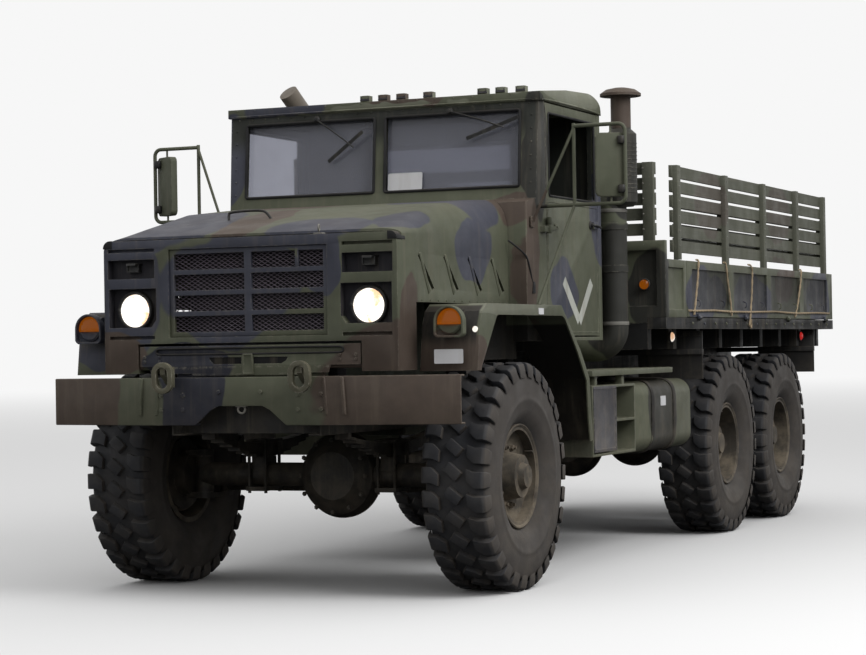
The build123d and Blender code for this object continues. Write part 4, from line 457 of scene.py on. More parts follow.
looks = {
    "camouflage_paint": coated("camouflage_paint", None, top=0.11, low=0.2, rough=(0.52, 0.68), streaking=0.12),
    "chassis_paint": coated("chassis_paint", srgb(23, 23, 23), top=0.22, low=0.24, rough=(0.5, 0.75),
                            wear=0.3, waves=2.0),
    "wheel_paint": coated("wheel_paint", srgb(48, 46, 43), top=0.2, low=0.6, rough=(0.5, 0.75), wear=0.45,
                          worn=srgb(112, 84, 66), waves=1.0),
    "engine_iron": coated("engine_iron", srgb(70, 76, 66), top=0.4, low=0.5, rough=(0.5, 0.8), wear=0.2,
                          scale=180.0, depth=0.0015),
    "dash_paint": coated("dash_paint", srgb(70, 74, 62), top=0.25, low=0.0, rough=(0.4, 0.6), wear=0.4),
    "exhaust_steel": coated("exhaust_steel", srgb(118, 110, 100), top=0.2, low=0.2, rough=(0.45, 0.7),
                            wear=0.0, streaking=0.5),
    "rubber": coated("rubber", srgb(44, 44, 44), top=0.3, low=0.7, rough=(0.7, 0.9), fading=0.2, wear=0.0,
                     streaking=0.15, waves=0.0, scale=260.0, depth=0.0008),
}
for node, slot in slot_of_node.items():
    if slot in looks:
        for held in frame["nodes"][node].material_slots:
            held.link = "DATA"
            held.material = looks[slot]
print("painted so far:", ", ".join(looks))

# %% [markdown]
# ### Tyre, glass, wood and the small finishes
#
# A tyre's tread is scuffed to a dark grey, while its sidewalls keep a brown film of dust, so the
# look tells them apart by which way the surface faces. Lamps that are switched on give light of
# their own. Rack boards are painted wood, so their grain still shows through as fine ridges.

# %% More finishes
tyre_look, tree, shader = start_look("tyre")
sidewall = span(tree, calc(tree, "ABSOLUTE", axes_of(tree, "Normal")["X"]), 0.55, 0.85)
tread = effect(tree, tone, {"Color": srgb(38, 40, 45), "Amount": 0.3})["Color"]
filmed = effect(tree, tone, {"Color": srgb(62, 58, 55), "Amount": 0.35})["Color"]
dusty = effect(tree, dust, {"Color": blend_colors(tree, sidewall, tread, filmed), "Top": 0.1, "Low": 0.1})
tree.links.new(dusty["Color"], shader["Base Color"])
roughen(tree, shader, 0.68, 0.9, dusty["Amount"])
bump(tree, shader, effect(tree, grain, {"Scale": 240.0, "Waves": 2.0})["Height"], 0.0012)
looks["tyre"] = tyre_look


def glassy(name, color, rough=0.06, film=0.15, shine=0.0, clear=1.0):
    """Thin glass or a lamp's cover under a light film of dust; shine lets a lit lamp glow."""
    look, tree, shader = start_look(name)
    shader["Transmission Weight"].default_value = clear
    shader["IOR"].default_value = 1.3
    tint = effect(tree, tone, {"Color": color, "Amount": 0.12})["Color"]
    tree.links.new(tint, shader["Base Color"])
    cloud = span(tree, noise(tree, 7.0, 6.0, roughness=0.7), 0.35, 0.75, rough, rough + film)
    tree.links.new(cloud, shader["Roughness"])
    bump(tree, shader, noise(tree, 3.0, 1.0), 0.0008)
    if shine:
        tree.links.new(tint, shader["Emission Color"])
        shader["Emission Strength"].default_value = shine
    return look


looks["glass"] = glassy("glass", srgb(168, 170, 182), 0.04, 0.1, clear=0.7)
looks["lamp_glass"] = glassy("lamp_glass", srgb(250, 244, 230), 0.1, 0.1)
looks["lamp_plastic"] = glassy("lamp_plastic", srgb(150, 22, 20), 0.15, 0.2, 0.08)

wood_look, tree, shader = start_look("rack_wood")
fibres = noise(tree, 1.0, 4.0, stretched(tree, (60.0, 1.6, 60.0)), 0.6)
board = blend_colors(tree, 0.5, effect(tree, patch_group, {})["Color"], srgb(84, 84, 76))
board = effect(tree, tone, {"Color": board, "Amount": 0.35})["Color"]
board = blend_colors(tree, span(tree, fibres, 0.55, 0.75, 0.0, 0.35), board, srgb(122, 116, 104))
dusty = effect(tree, dust, {"Color": board, "Top": 0.3, "Low": 0.0})
tree.links.new(dusty["Color"], shader["Base Color"])
roughen(tree, shader, 0.6, 0.85, dusty["Amount"])
bump(tree, shader, fibres, 0.0015)
looks["rack_wood"] = wood_look

core_look, tree, shader = start_look("radiator_core")
fins = calc(tree, "SINE", calc(tree, "MULTIPLY", axes_of(tree)["Z"], 900.0))
core = effect(tree, tone, {"Color": srgb(34, 32, 36), "Amount": 0.5})["Color"]
tree.links.new(blend_colors(tree, span(tree, fins, -0.2, 0.8, 0.0, 0.6), core, srgb(20, 19, 20)),
               shader["Base Color"])
roughen(tree, shader, 0.5, 0.8)
bump(tree, shader, fins, 0.001)
looks["radiator_core"] = core_look

cover_look, tree, shader = start_look("seat_cover")
weave = calc(tree, "ADD", *[calc(tree, "SINE", calc(tree, "MULTIPLY", axes_of(tree)[axis], 2400.0))
                            for axis in "XY"])
canvas = effect(tree, tone, {"Color": srgb(66, 70, 54), "Amount": 0.5})["Color"]
dusty = effect(tree, dust, {"Color": canvas, "Top": 0.3, "Low": 0.0})
tree.links.new(dusty["Color"], shader["Base Color"])
shader["Sheen Weight"].default_value = 0.25
shader["Sheen Roughness"].default_value = 0.5
roughen(tree, shader, 0.75, 0.95)
bump(tree, shader, weave, 0.0006)
looks["seat_cover"] = cover_look

black_metal = coated("black_metal", srgb(34, 34, 34), top=0.15, low=0.2, rough=(0.35, 0.6), wear=0.5,
                     worn=srgb(92, 92, 90))
dull_steel = coated("dull_steel", srgb(118, 116, 110), top=0.2, low=0.4, rough=(0.35, 0.6), wear=0.0)
black_rubber = coated("black_rubber", srgb(30, 30, 31), top=0.2, low=0.3, rough=(0.55, 0.8), fading=0.2,
                      wear=0.0, streaking=0.0, waves=0.0, scale=320.0)
plate_white = coated("plate_white", srgb(214, 214, 216), top=0.05, low=0.05, rough=(0.4, 0.6), fading=0.08,
                     streaking=0.1, wear=0.0, waves=1.0)
chalk_white = coated("chalk_white", srgb(178, 180, 172), top=0.1, low=0.1, rough=(0.7, 0.9), fading=0.35,
                     streaking=0.3, wear=0.0, waves=2.0)
shadow_black = coated("shadow_black", srgb(15, 15, 16), top=0.0, low=0.0, rough=(0.8, 0.95), wear=0.0, waves=0.0)
shackle_steel = coated("shackle_steel", srgb(92, 90, 74), top=0.2, low=0.3, rough=(0.4, 0.7), fading=0.5, wear=1.0,
                       worn=srgb(168, 162, 150))
mirror_glass = coated("mirror_glass", srgb(190, 194, 194), top=0.05, low=0.0, rough=(0.04, 0.12), fading=0.1,
                      streaking=0.1, wear=0.0, waves=0.0)
mirror_glass.node_tree.nodes["Principled BSDF"].inputs["Metallic"].default_value = 1.0
rope_look = coated("rope", srgb(168, 150, 124), top=0.1, low=0.1, rough=(0.8, 0.95), wear=0.0, scale=900.0,
                   depth=0.002)
lit_lamp = glassy("lit_lamp", srgb(255, 248, 236), 0.2, 0.1, 0.95)
tree = lit_lamp.node_tree
warm_edge = blend_colors(tree, span(tree, noise(tree, 16.0, 3.0), 0.5, 0.62), srgb(255, 250, 242),
                         srgb(214, 168, 130))
tree.links.new(warm_edge, tree.nodes["Principled BSDF"].inputs["Emission Color"])
amber_lamp = glassy("amber_lamp", srgb(226, 122, 22), 0.15, 0.15, 0.22)
for node, slot in slot_of_node.items():
    for held in frame["nodes"][node].material_slots:
        held.link = "DATA"
        held.material = looks[slot]
print("finishes:", len(bpy.data.materials))

# %% [markdown]
# ## Helpers for modelling
#
# Blender's operators work on whatever is selected, so each helper first selects its own piece
# alone. `start` adds a primitive, `pick` selects faces or edges by a test, `worked` runs a list of
# such picks and tools, `modify` adds a modifier and applies it, and `dress` gives a finished piece
# its look and the body it rides on.

# %% Modelling helpers
def alone(*pieces):
    """Select just these pieces, with the first one active."""
    if bpy.context.mode != "OBJECT":
        bpy.ops.object.mode_set(mode="OBJECT")
    bpy.ops.object.select_all(action="DESELECT")
    for piece in pieces:
        piece.select_set(True)
    bpy.context.view_layer.objects.active = pieces[0]
    return pieces[0]


def start(kind, name, scale=None, **settings):
    """Add one primitive; its place, turn and scale go into its mesh."""
    bpy.ops.object.select_all(action="DESELECT")
    getattr(bpy.ops.mesh, f"primitive_{kind}_add")(**settings)
    piece = bpy.context.object
    piece.name = name
    if scale:
        piece.scale = scale
    bpy.ops.object.transform_apply(location=True, rotation=True, scale=True)
    return piece


def bar(name, low, high):
    """A cube primitive stretched between two corners."""
    low, high = Vector(low), Vector(high)
    return start("cube", name, size=1, location=(low + high) / 2, scale=high - low)


def edit(piece):
    """Open a piece in edit mode, with vertices to select."""
    alone(piece)
    bpy.ops.object.mode_set(mode="EDIT")
    bpy.ops.mesh.select_mode(type="VERT")


def pick(piece, test, parts="faces"):
    """In edit mode, select the faces, edges or vertices that pass a test."""
    bpy.ops.mesh.select_mode(type={"faces": "FACE", "edges": "EDGE", "verts": "VERT"}[parts])
    bpy.ops.mesh.select_all(action="DESELECT")
    mesh = bmesh.from_edit_mesh(piece.data)
    for part in getattr(mesh, parts):
        part.select_set(bool(test(part)))
    mesh.select_flush_mode()
    bmesh.update_edit_mesh(piece.data)


tools = {
    "inset": lambda depth: bpy.ops.mesh.inset(thickness=depth),
    "inset_each": lambda depth: bpy.ops.mesh.inset(thickness=depth, use_individual=True),
    "extrude": lambda move: bpy.ops.mesh.extrude_region_move(TRANSFORM_OT_translate={"value": move}),
    "resize": lambda scale: bpy.ops.transform.resize(value=scale),
    "move": lambda move: bpy.ops.transform.translate(value=move),
    "cut": lambda count: bpy.ops.mesh.subdivide(number_cuts=count),
    "bevel": lambda width, steps: bpy.ops.mesh.bevel(offset=width, segments=steps, affect="EDGES"),
    "delete": lambda kind: bpy.ops.mesh.delete(type=kind),
}


def worked(piece, *steps):
    """Work a piece in edit mode, then come back to object mode.

    "-y" picks the faces that look along -Y, and ("faces", test) or ("edges", test) those that pass
    a test. Any other step is a tool's name and its amounts.
    """
    edit(piece)
    for step in steps:
        if isinstance(step, str):
            sign, axis = (1 if step[0] == "+" else -1), "xyz".index(step[1])
            pick(piece, lambda face: sign * face.normal[axis] > 0.9)
        elif step[0] in ("faces", "edges"):
            pick(piece, step[1], step[0])
        else:
            tools[step[0]](*step[1:])
    bpy.ops.object.mode_set(mode="OBJECT")
    return piece


def modify(piece, kind, **settings):
    alone(piece)
    modifier = piece.modifiers.new(kind.lower(), kind)
    for field, value in settings.items():
        setattr(modifier, field, value)
    bpy.ops.object.modifier_apply(modifier=modifier.name)
    return piece


def joined(name, pieces):
    piece = alone(*pieces)
    if len(pieces) > 1:
        bpy.ops.object.join()
    piece.name = name
    return piece


def copies(model, matrices, keep=False):
    """Copies of a model, each with its own mesh, moved by a matrix."""
    made = []
    for matrix in matrices:
        twin = model.copy()
        twin.data = model.data.copy()
        twin.data.transform(matrix)
        if matrix.determinant() < 0:
            twin.data.flip_normals()
        bpy.context.collection.objects.link(twin)
        made.append(twin)
    if not keep:
        bpy.data.objects.remove(model)
    return made


paint = looks["camouflage_paint"]
chassis = looks["chassis_paint"]
usual_slot = {look.name: slot for slot, look in looks.items()}
usual_slot |= dict.fromkeys(("black_metal", "dull_steel", "lining_paint", "mesh_strands"), "chassis_paint")
usual_slot |= dict.fromkeys(("black_rubber", "shadow_black"), "rubber")
usual_slot |= dict.fromkeys(("plate_white", "chalk_white", "slate_cover"), "camouflage_paint")
usual_slot |= dict.fromkeys(("lit_lamp", "amber_lamp", "red_lamp"), "lamp_plastic")
usual_slot |= {"mirror_glass": "glass", "rope": "rack_wood"}


def dress(piece, look, body="chassis", slot=None, bevel=0.0, angle=30, segments=2):
    """Round the edges, shade the piece, and give it its look and body; slot is not used."""
    if bevel:
        modify(piece, "BEVEL", width=bevel, segments=segments, limit_method="ANGLE",
               angle_limit=radians(30))
    alone(piece)
    bpy.ops.object.shade_smooth_by_angle(angle=radians(angle))
    piece.data.materials.clear()
    piece.data.materials.append(look)
    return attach(piece, body)


def fit(name, pieces, look, body="chassis", **settings):
    """Join some pieces under one name and dress them."""
    return dress(joined(name, pieces), look, body, **settings)


def turned(name, profile, steps=32):
    """Spin an (along, radius) outline about the X axis; it closes where it meets the axis."""
    piece = start("plane", name, size=1)
    edit(piece)
    bpy.ops.mesh.merge(type="CENTER")
    bpy.ops.transform.translate(value=(profile[0][0], 0, profile[0][1]))
    for first, second in zip(profile, profile[1:]):
        bpy.ops.mesh.extrude_region_move(TRANSFORM_OT_translate={
            "value": (second[0] - first[0], 0, second[1] - first[1])})
    bpy.ops.mesh.select_all(action="SELECT")
    bpy.ops.mesh.spin(steps=steps, angle=2 * pi, center=(0, 0, 0), axis=(1, 0, 0))
    bpy.ops.mesh.select_all(action="SELECT")
    bpy.ops.mesh.remove_doubles(threshold=1e-5)
    bpy.ops.mesh.dissolve_degenerate(threshold=1e-6)
    bpy.ops.mesh.select_all(action="SELECT")
    bpy.ops.mesh.normals_make_consistent(inside=False)
    bpy.ops.object.mode_set(mode="OBJECT")
    return piece


def aimed(place, direction, spin_angle=0.0):
    """The matrix that sets a turned piece's X axis along a direction, at a place."""
    turn = Vector(direction).to_track_quat("X", "Z").to_matrix().to_4x4()
    return Matrix.Translation(place) @ turn @ Matrix.Rotation(spin_angle, 4, "X")


left_right = (1, -1)
both_sides = ((1, "left"), (-1, "right"))
print("helpers are ready")

# %% [markdown]
# ## Softer edges on the truck's own pieces
#
# Pressed steel has no knife edges: each fold is a few millimetres round and catches a thin line of
# light. Each piece that the camera sees is copied, its flat facets are merged, and its edges get a
# bevel. The copy stands for the node, and the node itself is left alone.

# %% Softened pieces
def soften(node, bevel, segments=2):
    piece = frame["nodes"][node].copy()
    piece.data = frame["nodes"][node].data.copy()
    piece.name = "soft_" + node
    piece.parent = None
    bpy.context.collection.objects.link(piece)
    edit(piece)
    bpy.ops.mesh.select_all(action="SELECT")
    bpy.ops.mesh.remove_doubles(threshold=1e-5)
    if node != "grille":        # its cells would close if its flat faces were merged
        bpy.ops.mesh.dissolve_limited(angle_limit=radians(1.0))
    bpy.ops.object.mode_set(mode="OBJECT")
    dress(piece, looks[slot_of_node[node]], body_of_node[node], bevel=bevel, segments=segments)
    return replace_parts(piece, node)


bevels = {"front_bumper": 0.007, "front_guard": 0.002, "hood": 0.005, "cab_shell": 0.005, "cab_roof": 0.008,
          "door_left": 0.005, "door_right": 0.005, "fenders": 0.003, "bed_floor": 0.004,
          "bed_front_wall": 0.004, "front_rack": 0.004, "side_gate_left": 0.003, "side_gate_right": 0.003,
          "side_rack_left": 0.004, "side_rack_right": 0.004, "tailgate": 0.003, "battery_box": 0.003,
          "tool_box": 0.006, "fuel_tank": 0.002, "grille": 0.004, "tow_shackles": 0.006,
          "frame_rails": 0.003, "mirrors": 0.003, "rear_tow": 0.004, "spare_carrier": 0.004,
          "rear_lamps": 0.012, "dashboard": 0.004, "engine_block": 0.015, "radiator": 0.006,
          "mud_flaps": 0.002}
soft = {node: soften(node, width) for node, width in bevels.items()}
soft["tow_shackles"].data.materials[0] = shackle_steel
print("softened", len(soft), "pieces,", sum(len(piece.data.polygons) for piece in soft.values()), "faces")

# %% [markdown]
# ## Tyres
#
# An off-road tyre has a smooth carcass and separate blocks of rubber. The outline of the carcass
# is spun about the axle: bead, bulging sidewall with a ring on it, shoulder, and the floor of the
# tread. One pitch of the tread is a long bent bar on each shoulder and a slanted block between
# them. The bars reach down over the shoulder. Thirty pitches go round, and the finished tyre is
# copied to each wheel.

# %% The tyre's carcass
outline = [(0.119, 0.2555), (0.119, 0.2745), (0.134, 0.29), (0.16, 0.318), (0.176, 0.352), (0.1835, 0.392),
           (0.1865, 0.398), (0.1865, 0.412), (0.184, 0.418), (0.1845, 0.436), (0.1805, 0.478),
           (0.1725, 0.522), (0.163, 0.548), (0.145, 0.563), (0.1, 0.57), (0.05, 0.573), (0.0, 0.574)]
section = outline + [(-along, radius) for along, radius in reversed(outline[:-1])] + [outline[0]]
carcass = turned("carcass", section, 90)
print("the carcass has", len(carcass.data.polygons), "faces")

# %% One pitch of the tread, and the whole tread
pitches = 30
pitch = 2 * pi / pitches
lug = worked(bar("lug", (0.118, -0.041, 0.56), (0.158, 0.041, 0.5985)), "-x", ("extrude", (-0.042, 0.026, 0.0)),
             ("resize", (1, 0.72, 1)), "+x", ("extrude", (0.016, 0.0, -0.014)), ("extrude", (0.008, 0.0, -0.03)),
             ("resize", (1, 0.86, 1)))
block = worked(bar("block", (-0.047, -0.03, 0.56), (0.047, 0.03, 0.5985)), "+z", ("resize", (0.95, 0.9, 1)))
block = copies(block, [Matrix.Rotation(radians(-38), 4, "Z")])[0]
half_turn = Matrix.Rotation(pi, 4, "Z")
lug, = copies(lug, [Matrix.Rotation(0.35 * pitch, 4, "X")])
other_lug, = copies(lug, [Matrix.Rotation(-0.5 * pitch, 4, "X") @ half_turn], keep=True)
tread_pitch = joined("tread_pitch", [lug, other_lug, block])
modify(tread_pitch, "BEVEL", width=0.0035, segments=2, limit_method="ANGLE", angle_limit=radians(30))
ring = copies(tread_pitch, [Matrix.Rotation(step * pitch, 4, "X") for step in range(pitches)])
tyre_model = joined("tyre_model", [carcass, *ring])
print("one tyre has", len(tyre_model.data.polygons), "faces")

# %% A tyre on each wheel and on the spare
def wheel_place(node):
    """The matrix that sets a wheel's piece in a tyre's place, rolled otherwise on each axle."""
    centre = middle(node)
    if node == "spare_tyre":
        return Matrix.Translation(centre) @ Matrix.Rotation(-pi / 2, 4, "Z")
    outward = Matrix.Rotation(0 if centre.x > 0 else pi, 4, "Z")
    return Matrix.Translation(centre) @ outward @ Matrix.Rotation(0.37 * centre.y, 4, "X")


tyre_nodes = [node for node in frame["nodes"] if slot_of_node[node] == "tyre"]
for node in tyre_nodes:
    tyre, = copies(tyre_model, [wheel_place(node)], keep=True)
    tyre.name = node.replace("tyre", "lugged_tyre")
    dress(tyre, looks["tyre"], body_of_node[node], angle=35)
    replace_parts(tyre, node)
bpy.data.objects.remove(tyre_model)
print("set", len(tyre_nodes), "tyres")

# %% [markdown]
# ## Bolts, rivets and bent bars
#
# A truck is held together by hundreds of bolts and rivets. A head is turned once and copied to each
# of its places, and all the heads of one panel become one piece. Bars, arms and pipes are curves
# with a round section, which are then made a mesh.

# %% Fastenings and pipes
def at(x, y, z):
    """A place given by metres to the left, back from the front axle, and up."""
    return Vector((x, front_y + y, z))


def heads(name, places, direction, size, look, body="chassis", slot=None, rivet=False):
    """Hexagon bolt heads, or round rivet heads, all facing one way."""
    if rivet:
        model = turned("head", [(-0.003, 0), (-0.003, size), (0.25 * size, 0.92 * size), (0.5 * size, 0.6 * size),
                                (0.6 * size, 0)], 10)
    else:
        model = turned("head", [(-0.003, 0), (-0.003, 1.4 * size), (0.1 * size, 1.4 * size), (0.1 * size, size),
                                (0.7 * size, size), (0.8 * size, 0.85 * size), (0.8 * size, 0)], 6)
    made = copies(model, [aimed(place, direction, 0.4 * count) for count, place in enumerate(places)])
    return fit(name, made, look, body, slot=slot)


def pipe(name, points, radius, closed=False, sides=2):
    """A round bar along a smooth curve past the points."""
    curve = bpy.data.curves.new(name, "CURVE")
    curve.dimensions, curve.bevel_depth, curve.bevel_resolution = "3D", radius, sides
    curve.use_fill_caps, curve.resolution_u = True, 6
    spline = curve.splines.new("NURBS")
    spline.points.add(len(points) - 1)
    for point, place in zip(spline.points, points):
        point.co = (*place, 1)
    spline.order_u = 3
    spline.use_cyclic_u, spline.use_endpoint_u = closed, not closed
    piece = bpy.data.objects.new(name, curve)
    bpy.context.collection.objects.link(piece)
    alone(piece)
    bpy.ops.object.convert(target="MESH")
    return piece


def between(low, high, count):
    return [low + (high - low) * step / (count - 1) for step in range(count)]


print("a bolt head is turned from 7 points")

# %% [markdown]
# ## Wheel nuts, hub caps and rim lips
#
# Each disc wheel is held by ten nuts in a ring, and the hub's cover by eight small bolts. The rim's
# rolled lip is a ring of round section, and an air valve stands beside it.

# %% Wheel fittings
nut = turned("nut", [(-0.004, 0), (-0.004, 0.021), (0.004, 0.021), (0.004, 0.0165), (0.017, 0.0165),
                     (0.021, 0.013), (0.022, 0.009), (0.034, 0.009), (0.036, 0.0)], 6)
cap_bolt = turned("cap_bolt", [(-0.003, 0), (-0.003, 0.01), (0.006, 0.01), (0.008, 0.007), (0.008, 0)], 6)
lip = turned("lip", [(0.124, 0.258), (0.124, 0.268), (0.129, 0.2745), (0.136, 0.2755), (0.139, 0.27),
                     (0.136, 0.264), (0.131, 0.258), (0.124, 0.258)], 64)
valve = turned("valve", [(0.0, 0), (0.0, 0.006), (0.03, 0.005), (0.031, 0.007), (0.045, 0.006), (0.046, 0)], 8)


def ring_of(model, count, radius, along, tilt=0.0):
    """Copies of a model round the X axis."""
    return copies(model, [Matrix.Rotation(2 * pi * step / count + tilt, 4, "X") @
                          Matrix.Translation((along, 0, radius)) for step in range(count)], keep=True)


for place in ("front_left", "front_right", "middle_left", "middle_right", "rear_left", "rear_right"):
    front = place.startswith("front")
    fittings = ring_of(nut, 10, 0.158 if front else 0.176, 0.06 if front else -0.04)
    fittings += ring_of(cap_bolt, 8, 0.082 if front else 0.07, 0.1 if front else 0.06, 0.2)
    fittings += ring_of(lip, 1, 0.0, 0.0) + ring_of(valve, 1, 0.235, 0.085)
    fittings = copies(joined("fittings", fittings), [wheel_place("tyre_" + place)])
    fit("wheel_fittings_" + place, fittings, looks["wheel_paint"], "wheel_" + place)
spare_lip, = ring_of(lip, 1, 0.0, 0.0)
fit("spare_fittings", copies(spare_lip, [wheel_place("spare_tyre")]), looks["wheel_paint"])
for model in (nut, cap_bolt, lip, valve):
    bpy.data.objects.remove(model)
print("wheel fittings are on")

# %% [markdown]
# ## The nose: mesh, lamps and their boxes
#
# Expanded mesh is a sheet that is slit and pulled, so its holes are flat diamonds. A grid whose
# faces are poked, and whose square edges are then dissolved, is that pattern. A Wireframe modifier
# gives it strands. The headlamps are lit: a domed lens in a dark ring. Above each sits a small
# marker lamp under a visor.

# %% The grille's mesh
mesh_strands = coated("mesh_strands", srgb(122, 114, 124), top=0.1, low=0.0, rough=(0.5, 0.7), fading=0.6,
                      wear=0.0, waves=0.0)
grille_low, grille_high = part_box("grille")
opening = grille_high - grille_low
net = start("grid", "grille_mesh", x_subdivisions=26, y_subdivisions=23, size=1, rotation=(pi / 2, 0, 0),
            location=(0, grille_high.y + 0.004, (grille_low.z + grille_high.z) / 2),
            scale=(opening.x + 0.01, opening.z + 0.01, 1))
edit(net)
bpy.ops.mesh.select_all(action="SELECT")
bpy.ops.mesh.poke()
pick(net, lambda line: not line.is_boundary and min(
    abs(line.verts[0].co.x - line.verts[1].co.x), abs(line.verts[0].co.z - line.verts[1].co.z)) < 1e-5, "edges")
bpy.ops.mesh.dissolve_edges(use_verts=False)
bpy.ops.object.mode_set(mode="OBJECT")
modify(net, "WIREFRAME", thickness=0.0052, use_even_offset=False)
dress(net, mesh_strands, "hood")
short_bar = bar("grille_short_bar", at(0.272, -0.889, 1.7), at(0.292, -0.872, 1.822))
dress(short_bar, paint, "hood", bevel=0.004)
print("the mesh has", len(net.data.polygons), "faces")

# %% Headlamps
lens = turned("lens", [(-0.012, 0.0), (-0.012, 0.085), (-0.002, 0.085), (0.006, 0.076), (0.012, 0.052),
                       (0.016, 0.024), (0.017, 0.0)], 48)
bezel = turned("bezel", [(-0.03, 0.084), (-0.03, 0.101), (-0.004, 0.103), (0.004, 0.1), (0.006, 0.094),
                         (0.003, 0.087), (-0.006, 0.084), (-0.03, 0.084)], 48)
for angle in (1, 1 + 2 * pi / 3, 1 + 4 * pi / 3):      # three screws hold the ring
    screw = Vector((0.093 * cos(angle), 0.093 * sin(angle)))
    worked(bezel,
           ("faces", lambda face: face.normal.x > 0.5 and (face.calc_center_median().yz - screw).length < 0.008),
           ("extrude", (0.006, 0, 0)))
lamp_places = [aimed(at(side * 0.675, -0.876, 1.5), (0, -1, 0)) for side in left_right]
lenses = fit("headlamp_lenses", copies(lens, lamp_places), lit_lamp, "hood", slot="lamp_glass")
fit("headlamp_rings", copies(bezel, lamp_places), black_metal, "hood", bevel=0.001)
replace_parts(lenses, "headlamps")
print("the headlamps are lit")

# %% Marker lamps, the nose's rubber corners, its eye and its grab handle
markers, corners = [], []
for side in left_right:
    body_part = worked(bar("marker_body", at(-0.036, -0.884, 1.7), at(0.036, -0.845, 1.742)), "-y",
                       ("inset", 0.006), ("extrude", (0, 0.01, 0)))
    visor = worked(bar("marker_visor", at(-0.044, -0.9, 1.742), at(0.044, -0.85, 1.748)), "-y",
                   ("resize", (0.62, 1, 1)), ("extrude", (0, -0.004, -0.008)))
    markers += copies(body_part, [Matrix.Translation((side * 0.681, 0, 0))])
    markers += copies(visor, [Matrix.Translation((side * 0.681, 0, 0))])
    corner = worked(bar("corner", at(0.795, -0.9035, 1.8265), at(0.8485, -0.8, 1.8685)),
                    ("edges", lambda line: all(v.co.x > 0.84 and v.co.z > 1.86 for v in line.verts)),
                    ("bevel", 0.04, 6))
    corners += copies(corner, [Matrix.Scale(side, 4, (1, 0, 0))])
fit("marker_lamps", markers, black_metal, "hood", bevel=0.002)
fit("nose_corner_pads", corners, black_rubber, "hood", bevel=0.003)
eye = start("torus", "hood_eye", location=at(0.405, -0.875, 1.896), rotation=(0, pi / 2, 0.3),
            major_radius=0.016, minor_radius=0.005, major_segments=20, minor_segments=8)
foot = bar("eye_foot", at(0.38, -0.892, 1.864), at(0.43, -0.85, 1.872))
fit("hood_lifting_eye", [eye, foot], dull_steel, "hood", bevel=0.001)
grab = pipe("grab", [at(-0.348, -0.436, 1.968), at(-0.352, -0.436, 2.01), at(-0.34, -0.436, 2.026),
                     at(-0.16, -0.434, 2.03), at(-0.118, -0.433, 2.016), at(-0.092, -0.431, 1.97)], 0.0075)
fit("hood_grab_handle", [grab], black_metal, "hood")
print("the nose has its small fittings")

# %% Louvre lips and rivets on the hood's sides
lips = []
for side in left_right:
    for step in range(4):
        y = -0.555 + 0.323 * step
        blade = worked(bar("blade", (-0.0025, -0.006, -0.118), (0.0025, 0.006, 0.118)), "+x",
                       ("extrude", (0.004, 0.008, 0)), ("resize", (1, 0.4, 0.94)))
        lips += copies(blade, [Matrix.Scale(side, 4, (1, 0, 0)) @ Matrix.Translation(at(0.8455, y - 0.014, 1.663)) @
                               Matrix.Rotation(radians(30), 4, "X")])
fit("louvre_lips", lips, paint, "hood")
for side, name in both_sides:
    heads("hood_rivets_" + name, [at(side * 0.845, y, 1.525) for y in between(-0.6, 0.55, 12)], (side, 0, 0), 0.006,
          paint, "hood", rivet=True)
print("the hood is dressed")

# %% [markdown]
# ## Bumper, guard and fenders
#
# The bumper has a welded rib either side of each shackle, and bolts through its face into the
# frame. A ring hangs in its notch. On each front fender is a round lamp in a hood, amber above and
# plain below, and beside it a small marker. The white plates are left blank.

# %% Bumper and guard
ribs = []
for side in left_right:
    for x in (0.475, 0.575):
        rib = bar("rib", at(side * x - 0.011, -0.9965, 0.955), at(side * x + 0.011, -0.985, 1.148))
        ribs.append(worked(rib, "-y", ("resize", (0.6, 1, 0.97)), "-z", ("move", (side * 0.012, 0, 0))))
fit("bumper_ribs", ribs, paint, bevel=0.003)
bumper_bolts = [at(x, -0.99, z) for x in (-0.46, -0.33, 0.33, 0.46) for z in (0.985, 1.06)]
bumper_bolts += [at(x, -0.99, 1.075) for x in (-0.12, 0.12)]
heads("bumper_bolts", bumper_bolts, (0, -1, 0), 0.011, paint)
guard_rivets = [at(x, -0.8945, z) for x in (-0.61, -0.52, 0.52, 0.61) for z in (1.232, 1.256)]
heads("guard_bolts", guard_rivets, (0, -1, 0), 0.008, paint)
print("the bumper has", len(bumper_bolts), "bolts")

# %% The guard's skin, with its slot and openings
def cut_sheet(name, outline, holes, front, depth):
    """A flat sheet facing ahead: (x, z) corners outside, and the corners of each hole."""
    flat = bpy.data.curves.new(name, "CURVE")
    flat.dimensions, flat.fill_mode = "2D", "BOTH"
    for corners in [outline, *holes]:
        loop = flat.splines.new("POLY")
        loop.points.add(len(corners) - 1)
        for point, (x, z) in zip(loop.points, corners):
            point.co = (x, z, 0, 1)
        loop.use_cyclic_u = True
    sheet = bpy.data.objects.new(name, flat)
    bpy.context.collection.objects.link(sheet)
    alone(sheet)
    bpy.ops.object.convert(target="MESH")
    sheet, = copies(sheet, [Matrix.Translation((0, front_y + front, 0)) @ Matrix.Rotation(pi / 2, 4, "X")])
    sheet.name = name
    return modify(sheet, "SOLIDIFY", thickness=depth, offset=-1)


def mirrored(corners):
    return [(-x, z) for x, z in reversed(corners)]


